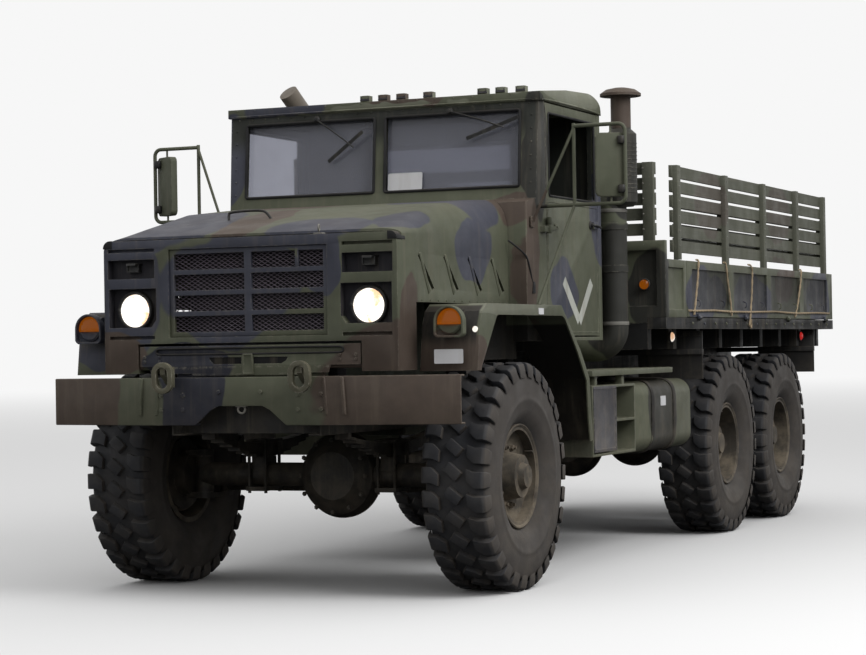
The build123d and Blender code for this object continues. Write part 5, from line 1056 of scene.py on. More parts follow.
slot_end = [(0.541, 1.283), (0.537, 1.292), (0.526, 1.298)]
slot_hole = [(-x, z) for x, z in slot_end] + [(x, z) for x, z in reversed(slot_end)]
slot_hole += [(x, 2.566 - z) for x, z in slot_end[1:]] + [(-x, 2.566 - z) for x, z in reversed(slot_end[1:])]
guard_hole = [(0.03, 1.2505), (0.228, 1.2505), (0.218, 1.232), (0.19, 1.2165), (0.03, 1.2165)]
guard_edge = [(0.636, 1.311), (0.636, 1.206), (0.47, 1.206), (0.455, 1.168), (0.33, 1.168), (0.322, 1.158),
              (0.0, 1.158)]
skin = cut_sheet("guard_skin", guard_edge + mirrored(guard_edge)[1:], [
    slot_hole, guard_hole, [(x - 0.01 if x > -0.2 else x, z) for x, z in mirrored(guard_hole)]], -0.8945, 0.004)
dress(skin, paint, bevel=0.0012)
backing = cut_sheet("guard_shadows", [(-0.235, 1.254), (0.235, 1.254), (0.235, 1.212), (-0.235, 1.212)], [],
                    -0.8908, 0.0006)
dress(backing, shadow_black)
slot_back = bar("slot_back", at(-0.5385, -0.886, 1.2685), at(0.5385, -0.8795, 1.2975))
dress(slot_back, paint, bevel=0.002)
edging = pipe("guard_slot_edge", [at(side * x, -0.8945, z) for side, x, z in (
    (-1, 0.5, 1.2985), (-1, 0.0, 1.2985), (1, 0.5, 1.2985), (1, 0.536, 1.2965), (1, 0.541, 1.283),
    (1, 0.536, 1.2695), (1, 0.5, 1.2675), (1, 0.0, 1.2675), (-1, 0.5, 1.2675), (-1, 0.536, 1.2695),
    (-1, 0.541, 1.283), (-1, 0.536, 1.2965))], 0.0052, closed=True)
dress(edging, black_rubber)
tongue = worked(bar("tongue", at(-0.034, -0.9045, 1.16), at(0.034, -0.8935, 1.268)), "+z", ("resize", (0.82, 1, 1)),
                "-y", ("inset", 0.009), ("extrude", (0, 0.005, 0)))
dress(tongue, paint, bevel=0.003)
pin_ring = start("torus", "pin_ring", location=at(0.0, -0.972, 0.985), rotation=(pi / 2, 0, 0.2),
                 major_radius=0.019, minor_radius=0.006, major_segments=24, minor_segments=8)
pin_plate = bar("pin_plate", at(-0.03, -0.984, 0.998), at(0.03, -0.955, 1.01))
fit("notch_ring", [pin_ring, pin_plate], dull_steel, bevel=0.002)
print("the guard's skin has", len(skin.data.polygons), "faces")

# %% Fender lamps and markers
def part_lens(profile, height, **cleared):
    """A turned lens cut level across, with one part cleared away and the cut closed."""
    piece = turned("part_lens", profile, 36)
    edit(piece)
    bpy.ops.mesh.select_all(action="SELECT")
    bpy.ops.mesh.bisect(plane_co=(0, 0, height), plane_no=(0, 0, 1), use_fill=True, **cleared)
    bpy.ops.object.mode_set(mode="OBJECT")
    return piece


lamp_r = 0.066
half_lens = part_lens([(-0.01, 0.0), (-0.01, lamp_r), (0.004, lamp_r), (0.014, 0.8 * lamp_r),
                       (0.022, 0.45 * lamp_r), (0.024, 0.0)], -0.014, clear_inner=True)
low_lens = part_lens([(-0.01, 0.0), (-0.01, lamp_r), (0.004, lamp_r), (0.01, 0.85 * lamp_r), (0.01, 0.0)],
                     -0.017, clear_outer=True)
hooded = start("circle", "hooded", vertices=48, radius=0.08, fill_type="NGON", rotation=(0, pi / 2, 0))
edit(hooded)
shape = bmesh.from_edit_mesh(hooded.data)
for vert in shape.verts:
    if vert.co.z < 0:
        vert.co *= min(0.08 / max(abs(vert.co.y), abs(vert.co.z), 1e-6), 1.28)
bmesh.update_edit_mesh(hooded.data)
bpy.ops.mesh.select_all(action="SELECT")
bpy.ops.mesh.extrude_region_move(TRANSFORM_OT_translate={"value": (0.046, 0, 0)})
bpy.ops.mesh.inset(thickness=0.0105)
bpy.ops.mesh.extrude_region_move(TRANSFORM_OT_translate={"value": (-0.03, 0, 0)})
bpy.ops.mesh.select_all(action="SELECT")
bpy.ops.mesh.normals_make_consistent(inside=False)
bpy.ops.object.mode_set(mode="OBJECT")
fender_lamps = [aimed(at(side * 1.048, -0.722, 1.412), (0, -1, 0)) for side in left_right]
lamp_hoods = [aimed(at(side * 1.048, -0.7, 1.412), (0, -1, 0)) for side in left_right]
fit("fender_lamp_amber", copies(half_lens, fender_lamps), amber_lamp)
fit("fender_lamp_lower", copies(low_lens, fender_lamps), paint, slot="lamp_plastic")
fit("fender_lamp_hoods", copies(hooded, lamp_hoods), paint, bevel=0.002)
small_lens = turned("small_lens", [(0.0, 0.0), (0.0, 0.016), (0.01, 0.015), (0.016, 0.009), (0.018, 0.0)], 20)
small_base = turned("small_base", [(-0.03, 0.0), (-0.03, 0.013), (-0.012, 0.02), (0.002, 0.02), (0.004, 0.016),
                                   (0.0, 0.0)], 20)
small_places = [aimed(at(side * 1.146, -0.625, 1.372), (side * 0.3, -0.95, 0)) for side in left_right]
stalks = [pipe("stalk", [at(side * 1.135, -0.598, 1.3), at(side * 1.14, -0.606, 1.335),
                         at(side * 1.144, -0.604, 1.368)], 0.006) for side in left_right]
fit("fender_marker_lenses", copies(small_lens, small_places), lit_lamp)
fit("fender_marker_bodies", copies(small_base, small_places) + stalks, black_metal)
print("the fenders have their lamps")

# %% Dark linings of the lamp boxes
linings = []
for low, high in ((at(0.533, -0.8995, 1.413), at(0.814, -0.8485, 1.614)),
                  (at(0.542, -0.8995, 1.668), at(0.82, -0.8485, 1.765))):
    lining = worked(bar("lining", low, high), "-y", ("delete", "FACE"))
    modify(lining, "SOLIDIFY", thickness=0.0012, offset=-1)
    linings += copies(lining, [Matrix.Scale(side, 4, (1, 0, 0)) for side in left_right])
lining_paint = coated("lining_paint", srgb(46, 45, 50), top=0.15, low=0.0, rough=(0.6, 0.8), fading=0.5, wear=0.0)
fit("lamp_box_linings", linings, lining_paint, "hood")
print(len(linings), "boxes are lined")

# %% [markdown]
# ## The cab: windows, wipers, hinges and handles
#
# The two windshield panes sit in black rubber. Each wiper hangs from a small motor box above its
# pane. A door has two strap hinges, a pull handle and a strip of rubber round its window. Rain
# gutters and rivets run along the roof. The white strokes on the door are only a stripe pattern.

# %% Gaskets round the panes
def frame_strip(name, corners, radius):
    """A closed round strip past some corners, with short bends at each."""
    points = []
    for before, corner, after in zip([corners[-1]] + corners[:-1], corners, corners[1:] + [corners[0]]):
        back, on = (before - corner).normalized(), (after - corner).normalized()
        points += [corner + back * 0.03, corner, corner + on * 0.03]
    return pipe(name, points, radius, closed=True)


rake = 0.045 / 0.575        # metres back for each metre up


def shield_y(z):
    """Where the raked windshield's outer face is at a height."""
    return 0.715 + rake * (z - 2.085)


pane_low, pane_high = 2.18, 2.612
gaskets = [frame_strip("gasket", [at(side * x, shield_y(z) - 0.002, z) for x, z in (
    (0.034, pane_low), (0.866, pane_low), (0.866, pane_high), (0.034, pane_high))], 0.0085) for side in left_right]
fit("windshield_gaskets", gaskets, black_rubber)
rear_gasket = frame_strip("rear_window_gasket", [at(x, 1.752, z) for x, z in (
    (-0.42, 2.19), (0.42, 2.19), (0.42, 2.52), (-0.42, 2.52))], 0.01)
dress(rear_gasket, black_rubber)
for side, name in both_sides:
    rivet_line = [at(side * x, shield_y(2.645) - 0.001, 2.645) for x in between(0.06, 0.92, 11)]
    rivet_line += [at(side * 0.935, shield_y(z) - 0.001, z) for z in between(2.2, 2.58, 6)]
    heads("shield_bolts_" + name, rivet_line, (0, -1, 0), 0.006, paint, rivet=True)
print("the panes are set in rubber")

# %% Wipers
wiper_parts = []
for pivot_x, pivot_z, tip_x, tip_z in ((0.44, 2.625, 0.862, 2.485), (-0.405, 2.625, -0.1, 2.405)):
    wiper_parts.append(pipe("arm", [at(pivot_x, shield_y(pivot_z) - 0.026, pivot_z),
                                    at((pivot_x + tip_x) / 2, shield_y((pivot_z + tip_z) / 2) - 0.03,
                                       (pivot_z + tip_z) / 2 + 0.01),
                                    at(tip_x * 0.8 + pivot_x * 0.2, shield_y(tip_z) - 0.018,
                                       tip_z * 0.8 + pivot_z * 0.2)], 0.0045))
    along = Vector((tip_x, 0, tip_z)) - Vector((pivot_x, 0, pivot_z))
    turn = Matrix.Rotation(-Vector((1, 0)).angle_signed(Vector((along.x, along.z))), 4, "Y")
    blade = bar("wiper_blade", (0.02 - 0.5 * along.length, -0.004, -0.011), (0.3 * along.length, 0.004, 0.011))
    worked(blade, "+y", ("resize", (1, 1, 0.25)), ("extrude", (0, 0.006, 0)))
    middle_z = pivot_z + along.z * 0.7
    blade_at = at(pivot_x + along.x * 0.7, shield_y(middle_z) - 0.0135, middle_z)
    wiper_parts += copies(blade, [Matrix.Translation(blade_at) @ Matrix.Rotation(rake, 4, "X") @ turn])
    motor = turned("motor", [(-0.01, 0), (-0.01, 0.02), (0.012, 0.02), (0.018, 0.013), (0.032, 0.011),
                             (0.034, 0.0)], 16)
    wiper_parts += copies(motor, [aimed(at(pivot_x, shield_y(pivot_z), pivot_z), (0, -1, 0))])
fit("wipers", wiper_parts, black_metal)
print("two wipers hang from", len(wiper_parts), "parts")

# %% Door hinges, handles and their strips
hinge_leaf = worked(bar("hinge_leaf", (0.0, 0.016, -0.032), (0.008, 0.185, 0.032)), "+y", ("resize", (1, 1, 0.45)))
for side, name in both_sides:
    mirror = Matrix.Scale(side, 4, (1, 0, 0))
    leaves = copies(hinge_leaf, [mirror @ Matrix.Translation(at(0.9855, 0.823, z)) for z in (1.45, 1.96)], keep=True)
    fit("hinge_leaves_" + name, leaves, paint, "door_" + name, bevel=0.002)
    hinge_bolts = [at(side * 0.9935, 0.823 + y, z + up_by) for z in (1.45, 1.96)
                   for y, up_by in ((0.045, 0.014), (0.045, -0.014), (0.115, 0.006), (0.155, -0.004))]
    heads("hinge_bolts_" + name, hinge_bolts, (side, 0, 0), 0.0065, paint, "door_" + name)
    handle = pipe("handle", [at(side * 0.99, 1.56, 1.99), at(side * 1.012, 1.562, 1.99),
                             at(side * 1.016, 1.585, 1.99), at(side * 1.016, 1.64, 1.984),
                             at(side * 1.013, 1.672, 1.978)], 0.0065)
    rose = turned("rose", [(-0.004, 0), (-0.004, 0.027), (0.004, 0.024), (0.008, 0.014), (0.018, 0.012), (0.018, 0)],
                  20)
    rose = copies(rose, [aimed(at(side * 0.987, 1.56, 1.99), (side, 0, 0))])
    fit("door_handle_" + name, [handle] + rose, black_metal, "door_" + name)
    for title, x, low_y, high_y, low_z, high_z, radius, look in (
            ("door_window_strip_", 0.984, 0.877, 1.643, 2.129, 2.598, 0.0075, black_rubber),
            ("door_seam_", 0.9845, 0.85, 1.67, 1.358, 2.095, 0.0035, paint)):
        strip = frame_strip(title + name, [at(side * x, y, z) for y, z in (
            (low_y, low_z), (high_y, low_z), (high_y, high_z), (low_y, high_z))], radius)
        dress(strip, look, "door_" + name)
bpy.data.objects.remove(hinge_leaf)
print("the doors have hinges and handles")

# %% White strokes on the left door
def stroke(name, start_place, end_place, width, out=0.9858):
    """A flat painted bar on the door's skin."""
    (y0, z0), (y1, z1) = start_place, end_place
    run = Vector((y1 - y0, z1 - z0)).normalized()
    aside = Vector((-run.y, run.x)) * width / 2
    stripe = start("plane", name, size=1)
    edit(stripe)
    mesh = bmesh.from_edit_mesh(stripe.data)
    mesh.verts.ensure_lookup_table()
    shape = [Vector((y0, z0)) - aside, Vector((y1, z1)) - aside, Vector((y1, z1)) + aside, Vector((y0, z0)) + aside]
    for vert, (y, z) in zip(sorted(mesh.verts, key=lambda v: (v.co.y, v.co.x if v.co.y < 0 else -v.co.x)), shape):
        vert.co = at(out, y, z)
    bmesh.update_edit_mesh(stripe.data)
    bpy.ops.mesh.select_all(action="SELECT")
    bpy.ops.mesh.subdivide(number_cuts=6, fractal=0.0)
    bpy.ops.mesh.normals_make_consistent(inside=False)
    bpy.ops.object.mode_set(mode="OBJECT")
    return modify(stripe, "SOLIDIFY", thickness=0.0006, offset=0)


strokes = [stroke("stroke", (1.337, 1.425), (1.095, 1.655), 0.062),
           stroke("stroke", (1.342, 1.42), (1.56, 1.655), 0.062, 0.9866)]
fit("door_strokes", strokes, chalk_white, "door_left")
print("two strokes are on the left door")

# %% Blank plates
def plate(name, centre, width, height, direction, thick=0.0015, rim=0.003):
    """A blank plate with rounded corners and a thin raised rim."""
    flat = worked(bar(name, (-thick, -width / 2, -height / 2), (thick, width / 2, height / 2)),
                  ("edges", lambda line: abs(line.verts[0].co.x - line.verts[1].co.x) > thick),
                  ("bevel", min(width, height) * 0.08, 3), "+x", ("inset", rim), ("extrude", (-0.0006, 0, 0)))
    return fit(name, copies(flat, [aimed(centre, direction)]), plate_white)


plate("fender_plate_left", at(1.035, -0.712, 1.238), 0.15, 0.072, (0.12, -1, 0))
plate("cowl_plate", at(0.951, 0.66, 1.773), 0.07, 0.105, (1, 0, 0))
plate("windshield_card", at(0.155, 0.745, 2.238), 0.215, 0.1, (0, -1, 0.1))
plate("fender_tab", at(1.1712, 0.235, 1.468), 0.075, 0.034, (1, 0, 0))
print("blank plates are on")

# %% [markdown]
# ## Mirrors, roof, intake and exhaust
#
# A truck mirror is glass in a flat steel case on a bent-tube frame, with clamps where it meets the
# tubes. The roof has a rain gutter over the doors and small marker lamps ahead. The air intake is a
# canister with a louvred cap, held by straps. The exhaust wears a guard of perforated sheet.

# %% Mirrors
for side, name in both_sides:
    turn_to = Matrix.Translation(at(side * 1.405, 0.735, 2.275)) @ Matrix.Rotation(
        side * radians(24 if side > 0 else 32), 4, "Z")
    case = worked(bar("case", (-0.084, -0.0225, -0.174), (0.084, 0.0205, 0.174)),
                  ("edges", lambda line: abs(line.verts[0].co.y - line.verts[1].co.y) > 0.03), ("bevel", 0.03, 4),
                  "+y", ("inset", 0.008), ("extrude", (0, -0.006, 0)))
    fit("mirror_case_" + name, copies(case, [turn_to]), paint, bevel=0.004)
    pane = worked(bar("pane", (-0.075, 0.013, -0.165), (0.075, 0.0165, 0.165)),
                  ("edges", lambda line: abs(line.verts[0].co.y - line.verts[1].co.y) > 0.003), ("bevel", 0.024, 4))
    fit("mirror_glass_" + name, copies(pane, [turn_to]), mirror_glass)
    clamp = turned("clamp", [(-0.022, 0), (-0.022, 0.021), (-0.016, 0.024), (0.016, 0.024), (0.022, 0.021),
                             (0.022, 0)], 16)
    clamps = copies(clamp, [aimed(at(side * 1.469, 0.735, z), (0, 0, 1)) for z in (2.14, 2.41)])
    fit("mirror_clamps_" + name, clamps, black_metal, bevel=0.001)
print("two mirrors are on their frames")

# %% Roof gutters, lamp caps and rivets
gutters = [pipe("gutter", [at(side * x, y, z) for x, y, z in (
    (0.99, 0.765, 2.664), (0.9955, 0.8, 2.668), (0.9955, 1.2, 2.672), (0.9955, 1.7, 2.668),
    (0.99, 1.752, 2.66))], 0.006) for side in left_right]
gutters.append(pipe("gutter", [at(-0.975, 0.752, 2.668), at(-0.5, 0.744, 2.668), at(0.5, 0.744, 2.668),
                               at(0.975, 0.752, 2.668)], 0.005))
fit("rain_gutters", gutters, paint)
cap_lamp = worked(bar("cap_lamp", (-0.03, -0.018, 0.0), (0.03, 0.02, 0.03)), "+z", ("resize", (0.72, 0.6, 1)),
                  ("faces", lambda face: face.normal.y < -0.5), ("inset", 0.004), ("extrude", (0, 0.003, 0)))
roof_lamps = copies(cap_lamp, [Matrix.Translation(at(x, 0.79, 2.7195)) for x in
                               (-0.107, 0.008, 0.123, 0.293, 0.629, 0.739, 0.861)])
fit("roof_lamp_caps", roof_lamps, lining_paint, bevel=0.003)
heads("roof_rivets", [at(x, 0.7475, 2.7) for x in between(-0.93, 0.93, 17)], (0, -1, 0), 0.005, paint, rivet=True)
print("the roof has", len(roof_lamps), "lamp caps")

# %% Air intake and exhaust
fin = turned("fin", [(0.0, 0.075), (0.0, 0.094), (0.003, 0.0955), (0.006, 0.094), (0.006, 0.075), (0.0, 0.075)], 36)
fins = copies(fin, [aimed(at(1.043, 1.98, z), (0, 0, 1)) for z in between(2.2, 2.5, 13)])
fit("intake_ribs", fins, paint)
band = turned("band", [(0.0, 0.0815), (0.0, 0.0845), (0.022, 0.0845), (0.022, 0.0815), (0.0, 0.0815)], 40)
bands = copies(band, [aimed(at(0.985, 1.98, z), (0, 0, 1)) for z in (1.4, 2.085)])
fit("intake_clamps", bands, dull_steel, bevel=0.0008)
guard_rows, guard_columns, guard_height = 34, 40, 0.98
guard_middle = at(-1.085, 1.98, 2.02)
shield = start("cylinder", "stack_guard", vertices=guard_columns, radius=0.092, depth=guard_height,
               end_fill_type="NOTHING", location=guard_middle)


def punched(face):
    """Every other cell of every other row, away from the ends."""
    place = face.calc_center_median() - guard_middle
    row = round((place.z / guard_height + 0.5) * guard_rows - 0.5)
    column = round(Vector((1, 0)).angle_signed(place.xy, 0) / (2 * pi / guard_columns) - 0.5)
    return row % 2 == 1 and column % 2 == 0 and abs(place.z) < 0.455


worked(shield, ("edges", lambda line: abs(line.verts[0].co.z - line.verts[1].co.z) > 0.5), ("cut", guard_rows - 1),
       ("faces", punched), ("inset_each", 0.0025), ("delete", "FACE"))
modify(shield, "SOLIDIFY", thickness=0.002)
dress(shield, looks["exhaust_steel"])
print("mirrors, roof, intake and exhaust are dressed")

# %% [markdown]
# ## Steps, boxes and the fuel tank
#
# The step over the battery box is punched tread: rows of raised dimples for a boot's grip. The
# tool box has two latches, and the tank a filler cap, strap bolts and a blank plate.

# %% Step treads and box fittings
def treads(name, low, high, size):
    """Rows of raised round studs on a flat top."""
    stud = turned("stud", [(-0.002, 0), (-0.002, size), (0.0012, 0.9 * size), (0.0022, 0.6 * size),
                           (0.0015, 0.35 * size), (0.0015, 0)], 8)
    across, along = [between(start_at, end_at, max(2, round((end_at - start_at) / (4 * size))))
                     for start_at, end_at in zip(low.xy, high.xy)]
    places = [Vector((x, y, high.z)) for x in across for y in along]
    return fit(name, copies(stud, [aimed(place, (0, 0, 1)) for place in places]), paint, slot="chassis_paint")


treads("step_treads", at(0.9, 1.08, 1.136), at(1.145, 2.515, 1.136), 0.01)
latches = []
for y in (1.22, 1.62):
    latch = worked(bar("latch", at(-0.001, y - 0.014, 0.8), at(0.01, y + 0.014, 0.9)), "+x",
                   ("resize", (1, 0.6, 0.8)), ("inset", 0.003), ("extrude", (-0.003, 0, 0)))
    latches += copies(latch, [Matrix.Translation((-1.1645, 0, 0)) @ Matrix.Scale(-1, 4, (1, 0, 0))])
fit("tool_box_latches", latches, black_metal, bevel=0.0015)
cap = turned("cap", [(-0.01, 0), (-0.01, 0.052), (0.006, 0.052), (0.008, 0.06), (0.026, 0.06), (0.032, 0.054),
                     (0.034, 0.02), (0.04, 0.016), (0.04, 0)], 28)
fit("filler_cap", copies(cap, [aimed(at(0.9, 2.07, 1.058), (0, 0, 1))]), black_metal, bevel=0.001)
heads("tank_strap_bolts", [at(x, y, 1.066) for x in (0.62, 1.02) for y in (2.169, 2.601)], (0, 0, 1), 0.008, chassis)
plate("tank_plate", at(1.1515, 2.38, 0.93), 0.1, 0.06, (1, 0, 0))
print("steps and boxes are fitted")

# %% [markdown]
# ## The bed: deck, hooks, ropes and racks
#
# The steel deck is ribbed lengthwise. Each drop side has rope hooks between its ribs, and bolts
# hold every board to every stake.

# %% Deck ribs and sill bolts
deck_ribs = []
for x in between(-1.02, 1.02, 13):
    rib = bar("deck_rib", at(x - 0.03, 2.285, 1.454), at(x + 0.03, 6.375, 1.4615))
    deck_ribs.append(worked(rib, "+z", ("resize", (0.6, 0.997, 1))))
fit("deck_ribs", deck_ribs, paint, slot="chassis_paint", bevel=0.0015)
print("the deck has", len(deck_ribs), "ribs")
board_z = [2.3665 - 0.094 * step for step in range(6)]
for side, name in both_sides:
    heads("sill_bolts_" + name, [at(side * 1.238, y, 1.41) for y in between(2.75, 6.25, 15)], (side, 0, 0), 0.008,
          paint, slot="chassis_paint")
    places = [at(side * 1.216, y, z) for y in (2.58, 3.64, 4.59, 5.5, 6.33) for z in board_z]
    heads("rack_bolts_" + name, places, (side, 0, 0), 0.0065, dull_steel, "side_gate_" + name, rivet=True)
heads("front_rack_bolts", [at(x, 2.2085, z) for x in (-1.1, -0.55, 0.0, 0.55, 1.1) for z in board_z], (0, -1, 0),
      0.0065, dull_steel, rivet=True)

# %% Rope hooks on the sides
for side, name in both_sides:
    hooks = [pipe("hook", [at(side * x, y, z) for x, z in (
        (1.232, 1.56), (1.256, 1.558), (1.259, 1.535), (1.254, 1.518), (1.244, 1.52))], 0.0042)
             for y in (2.86, 3.4, 3.93, 4.37, 4.83, 5.27, 5.73, 6.1)]
    fit("rope_hooks_" + name, hooks, paint, "side_gate_" + name, slot="chassis_paint")
print("hooks and bolts are on the sides")

# %% [markdown]
# ### Ropes on the left side
#
# Four lashings hang from the rack's lowest board down over the side, and one long rope runs
# through them. They are pulled tight, so each keeps the line it is given, as two strands that
# wind round each other.

# %% Ropes
def rope(name, points, radius=0.0075):
    """Two strands wound round a line of points."""
    strands, fine = [], []
    for first, second in zip(points, points[1:]):
        count = max(2, int((second - first).length / 0.03))
        fine += [first.lerp(second, step / count) for step in range(count)]
    fine.append(points[-1])
    for phase in (0.0, pi):
        wound = []
        for count, place in enumerate(fine):
            following = fine[min(count + 1, len(fine) - 1)] - fine[max(count - 1, 0)]
            aside = following.cross(Vector((0.31, 0.17, 0.94))).normalized()
            up_from = following.cross(aside).normalized()
            angle = phase + count * pi / 2
            wound.append(place + (aside * cos(angle) + up_from * sin(angle)) * radius * 0.5)
        strands.append(pipe("strand", wound, radius * 0.62, sides=1))
    return joined(name, strands)


rope_x = 1.2475
lashings = []
for across in ([(2.875, 1.818), (2.872, 1.812), (2.845, 1.7), (2.79, 1.55), (2.752, 1.462)],
               [(3.48, 1.818), (3.485, 1.812), (3.52, 1.7), (3.585, 1.54), (3.6, 1.462)],
               [(4.085, 1.82), (4.09, 1.812), (4.13, 1.78), (4.1, 1.6), (4.055, 1.45), (4.035, 1.402),
                (4.06, 1.378), (4.085, 1.402), (4.065, 1.44)],
               [(5.47, 1.82), (5.465, 1.812), (5.44, 1.72), (5.35, 1.56), (5.262, 1.462)]):
    (y, z), *below = across
    lashings.append(rope("lashing", [at(1.226, y, z)] + [at(rope_x, y, z) for y, z in below]))
along = [(2.76, 1.488), (3.2, 1.494), (3.6, 1.488), (4.06, 1.49), (4.7, 1.498), (5.28, 1.489), (5.9, 1.497)]
lashings.append(rope("long_rope", [at(1.24, 2.66, 1.49)] + [at(rope_x + 0.001, y, z) for y, z in along] +
                     [at(1.24, 6.33, 1.496)], 0.008))
fit("ropes", lashings, rope_look, "side_gate_left")
print("the ropes are tied")

# %% [markdown]
# ## Box covers, straps and small lamps
#
# The battery box has a slate cover ahead and a dark recess behind it. Two black straps hold the
# tank. Amber, white and red side lamps mark the bed's corners.

# %% Covers, straps and lamps
slate_cover = coated("slate_cover", srgb(68, 68, 73), top=0.3, low=0.35, rough=(0.5, 0.7), fading=0.4, wear=0.6)
cover = worked(bar("cover", at(1.1605, 1.058, 0.668), at(1.1685, 1.448, 1.046)), "+x", ("inset", 0.018),
               ("extrude", (-0.003, 0, 0)))
dress(cover, slate_cover, bevel=0.003)
recess = worked(bar("recess", at(1.04, 1.452, 0.665), at(1.052, 1.79, 1.045)), "+x", ("cut", 3), "+x",
                ("inset_each", 0.008), ("extrude", (-0.002, 0, 0)))
dress(recess, lining_paint, bevel=0.001)
heads("cover_bolts", [at(1.1685, y, z) for y in (1.072, 1.434) for z in (0.685, 0.857, 1.03)], (1, 0, 0), 0.006,
      slate_cover, rivet=True)
straps = []
for y in (2.169, 2.601):
    outline = [(0.52, 1.0675), (1.03, 1.0675), (1.095, 1.06), (1.135, 1.035), (1.156, 0.98), (1.1575, 0.84),
               (1.152, 0.705), (1.13, 0.65), (1.09, 0.622), (1.03, 0.6165), (0.52, 0.6165)]
    strap = pipe("strap", [at(x, y, z) for x, z in outline], 0.006)
    for vert in strap.data.vertices:
        vert.co.y = front_y + y + (vert.co.y - front_y - y) * 4.6
    straps.append(strap)
fit("tank_straps", straps, black_rubber)
round_lens = turned("round_lens", [(0.0, 0.0), (0.0, 0.03), (0.008, 0.029), (0.016, 0.02), (0.019, 0.0)], 24)
round_base = turned("round_base", [(-0.014, 0.0), (-0.014, 0.036), (0.002, 0.038), (0.005, 0.034), (0.003, 0.03),
                                   (0.0, 0.0)], 24)
side_lamps = [("amber", at(1.1, 2.203, 1.65), (0, -1, 0)), ("white", at(1.13, 2.64, 1.325), (1, 0, 0)),
              ("red", at(1.13, 5.86, 1.325), (1, 0, 0)), ("white_right", at(-1.13, 2.64, 1.325), (-1, 0, 0)),
              ("red_right", at(-1.13, 5.86, 1.325), (-1, 0, 0)),
              ("amber_right", at(-1.1, 2.203, 1.65), (0, -1, 0))]
red_lamp = glassy("red_lamp", srgb(226, 48, 44), 0.15, 0.15, 0.45)
for name, place, direction in side_lamps:
    kind = {"amber": amber_lamp, "white": lit_lamp, "red": red_lamp}[name.split("_")[0]]
    fit("side_lamp_" + name, copies(round_lens, [aimed(place, direction)], keep=True), kind)
bases = copies(round_base, [aimed(place, direction) for name, place, direction in side_lamps])
brackets = [bar("bracket", at(side * 1.119 - 0.004, y - 0.03, 1.29), at(side * 1.119 + 0.004, y + 0.03, 1.392))
            for side in left_right for y in (2.64, 5.86)]
fit("side_lamp_bodies", bases + brackets, black_metal, bevel=0.001)
bpy.data.objects.remove(round_lens)
print("covers, straps and", len(side_lamps), "side lamps are on")

# %% Hood straps
hood_straps = []
for side in left_right:
    hood_straps.append(pipe("hood_strap", [at(side * 0.9565, 0.69, 1.59), at(side * 0.9575, 0.665, 1.64),
                                           at(side * 0.9575, 0.612, 1.75), at(side * 0.945, 0.59, 1.8),
                                           at(side * 0.864, 0.545, 1.87)], 0.0055))
    buckle = bar("buckle", at(side * 0.959 - 0.006, 0.655, 1.575), at(side * 0.959 + 0.006, 0.705, 1.64))
    hood_straps.append(worked(buckle, "+z", ("resize", (1, 0.5, 1))))
fit("hood_straps", hood_straps, black_rubber, bevel=0.001)
print("two straps hold the hood")

# %% [markdown]
# ## Inside the cab
#
# The driver's seat and the bench are foam under canvas. Each cushion starts as a block that is
# remeshed and then blown up a little by a cloth simulation, which gives it a crown and pulled-in
# corners. A cord of piping runs round its edge. The wheel, gauges, pedals and levers are the
# things that a driver would touch.

# %% Seats
def cushion(name, low, high, swell=0.01):
    """A padded block: remeshed, swollen by cloth pressure, and smoothed."""
    low, high = Vector(low), Vector(high)
    inset = Vector((0.008, 0.008, 0.008))
    pad = bar(name, low + inset, high - inset)
    modify(pad, "BEVEL", width=0.022, segments=3, limit_method="ANGLE")
    modify(pad, "REMESH", mode="VOXEL", voxel_size=0.008)
    before = [vert.co.copy() for vert in pad.data.vertices]
    alone(pad)
    cloth = pad.modifiers.new("cloth", "CLOTH")
    cloth.settings.use_pressure = True
    cloth.settings.uniform_pressure_force = 4.0
    cloth.settings.effector_weights.gravity = 0.0
    cloth.settings.quality = 4
    for step in range(1, 21):
        bpy.context.scene.frame_set(step)
    bpy.ops.object.modifier_apply(modifier="cloth")
    bpy.context.scene.frame_set(1)
    for vert, start_place in zip(pad.data.vertices, before):
        move = vert.co - start_place
        if move.length > swell:
            vert.co = start_place + move.normalized() * swell
    modify(pad, "SUBSURF", levels=1, render_levels=1)
    piping = []
    flat = min(range(3), key=lambda axis: (high - low)[axis])
    for level in (low[flat] + 0.012, high[flat] - 0.012):
        ring = []
        sides = [axis for axis in range(3) if axis != flat]
        for first, second in ((0, 0), (1, 0), (1, 1), (0, 1)):
            for shift in ((0.05, 0.0), (0.0, 0.0), (0.0, 0.05)):
                place = Vector((0, 0, 0))
                place[flat] = level
                for axis, end, back in zip(sides, (first, second), shift if first == second else shift[::-1]):
                    place[axis] = (low, high)[end][axis] + (1 - 2 * end) * (0.004 + back)
                ring.append(place)
        piping.append(pipe("piping", ring, 0.0045, closed=True, sides=1))
    pad = joined(name, [pad] + piping)
    dress(pad, looks["seat_cover"])
    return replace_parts(pad, "cab_seats")


cushion("driver_cushion", at(0.23, 1.225, 1.65), at(0.76, 1.61, 1.76))
cushion("driver_back", at(0.23, 1.612, 1.715), at(0.76, 1.698, 2.145))
cushion("bench_cushion", at(-0.82, 1.225, 1.65), at(0.06, 1.61, 1.76))
cushion("bench_back", at(-0.82, 1.612, 1.715), at(0.06, 1.698, 2.145))
seat_frames = []
for low_x, high_x in ((0.26, 0.73), (-0.79, 0.03)):
    base = bar("seat_base", at(low_x, 1.265, 1.348), at(high_x, 1.59, 1.65))
    seat_frames.append(worked(base, ("faces", lambda face: abs(face.normal.z) < 0.1), ("inset_each", 0.03),
                              ("extrude", (0, 0, 0)), ("resize", (0.965, 0.95, 1))))
frames = fit("seat_frames", seat_frames, looks["dash_paint"], slot="chassis_paint", bevel=0.004)
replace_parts(frames, "cab_seats")
print("the seats are padded")

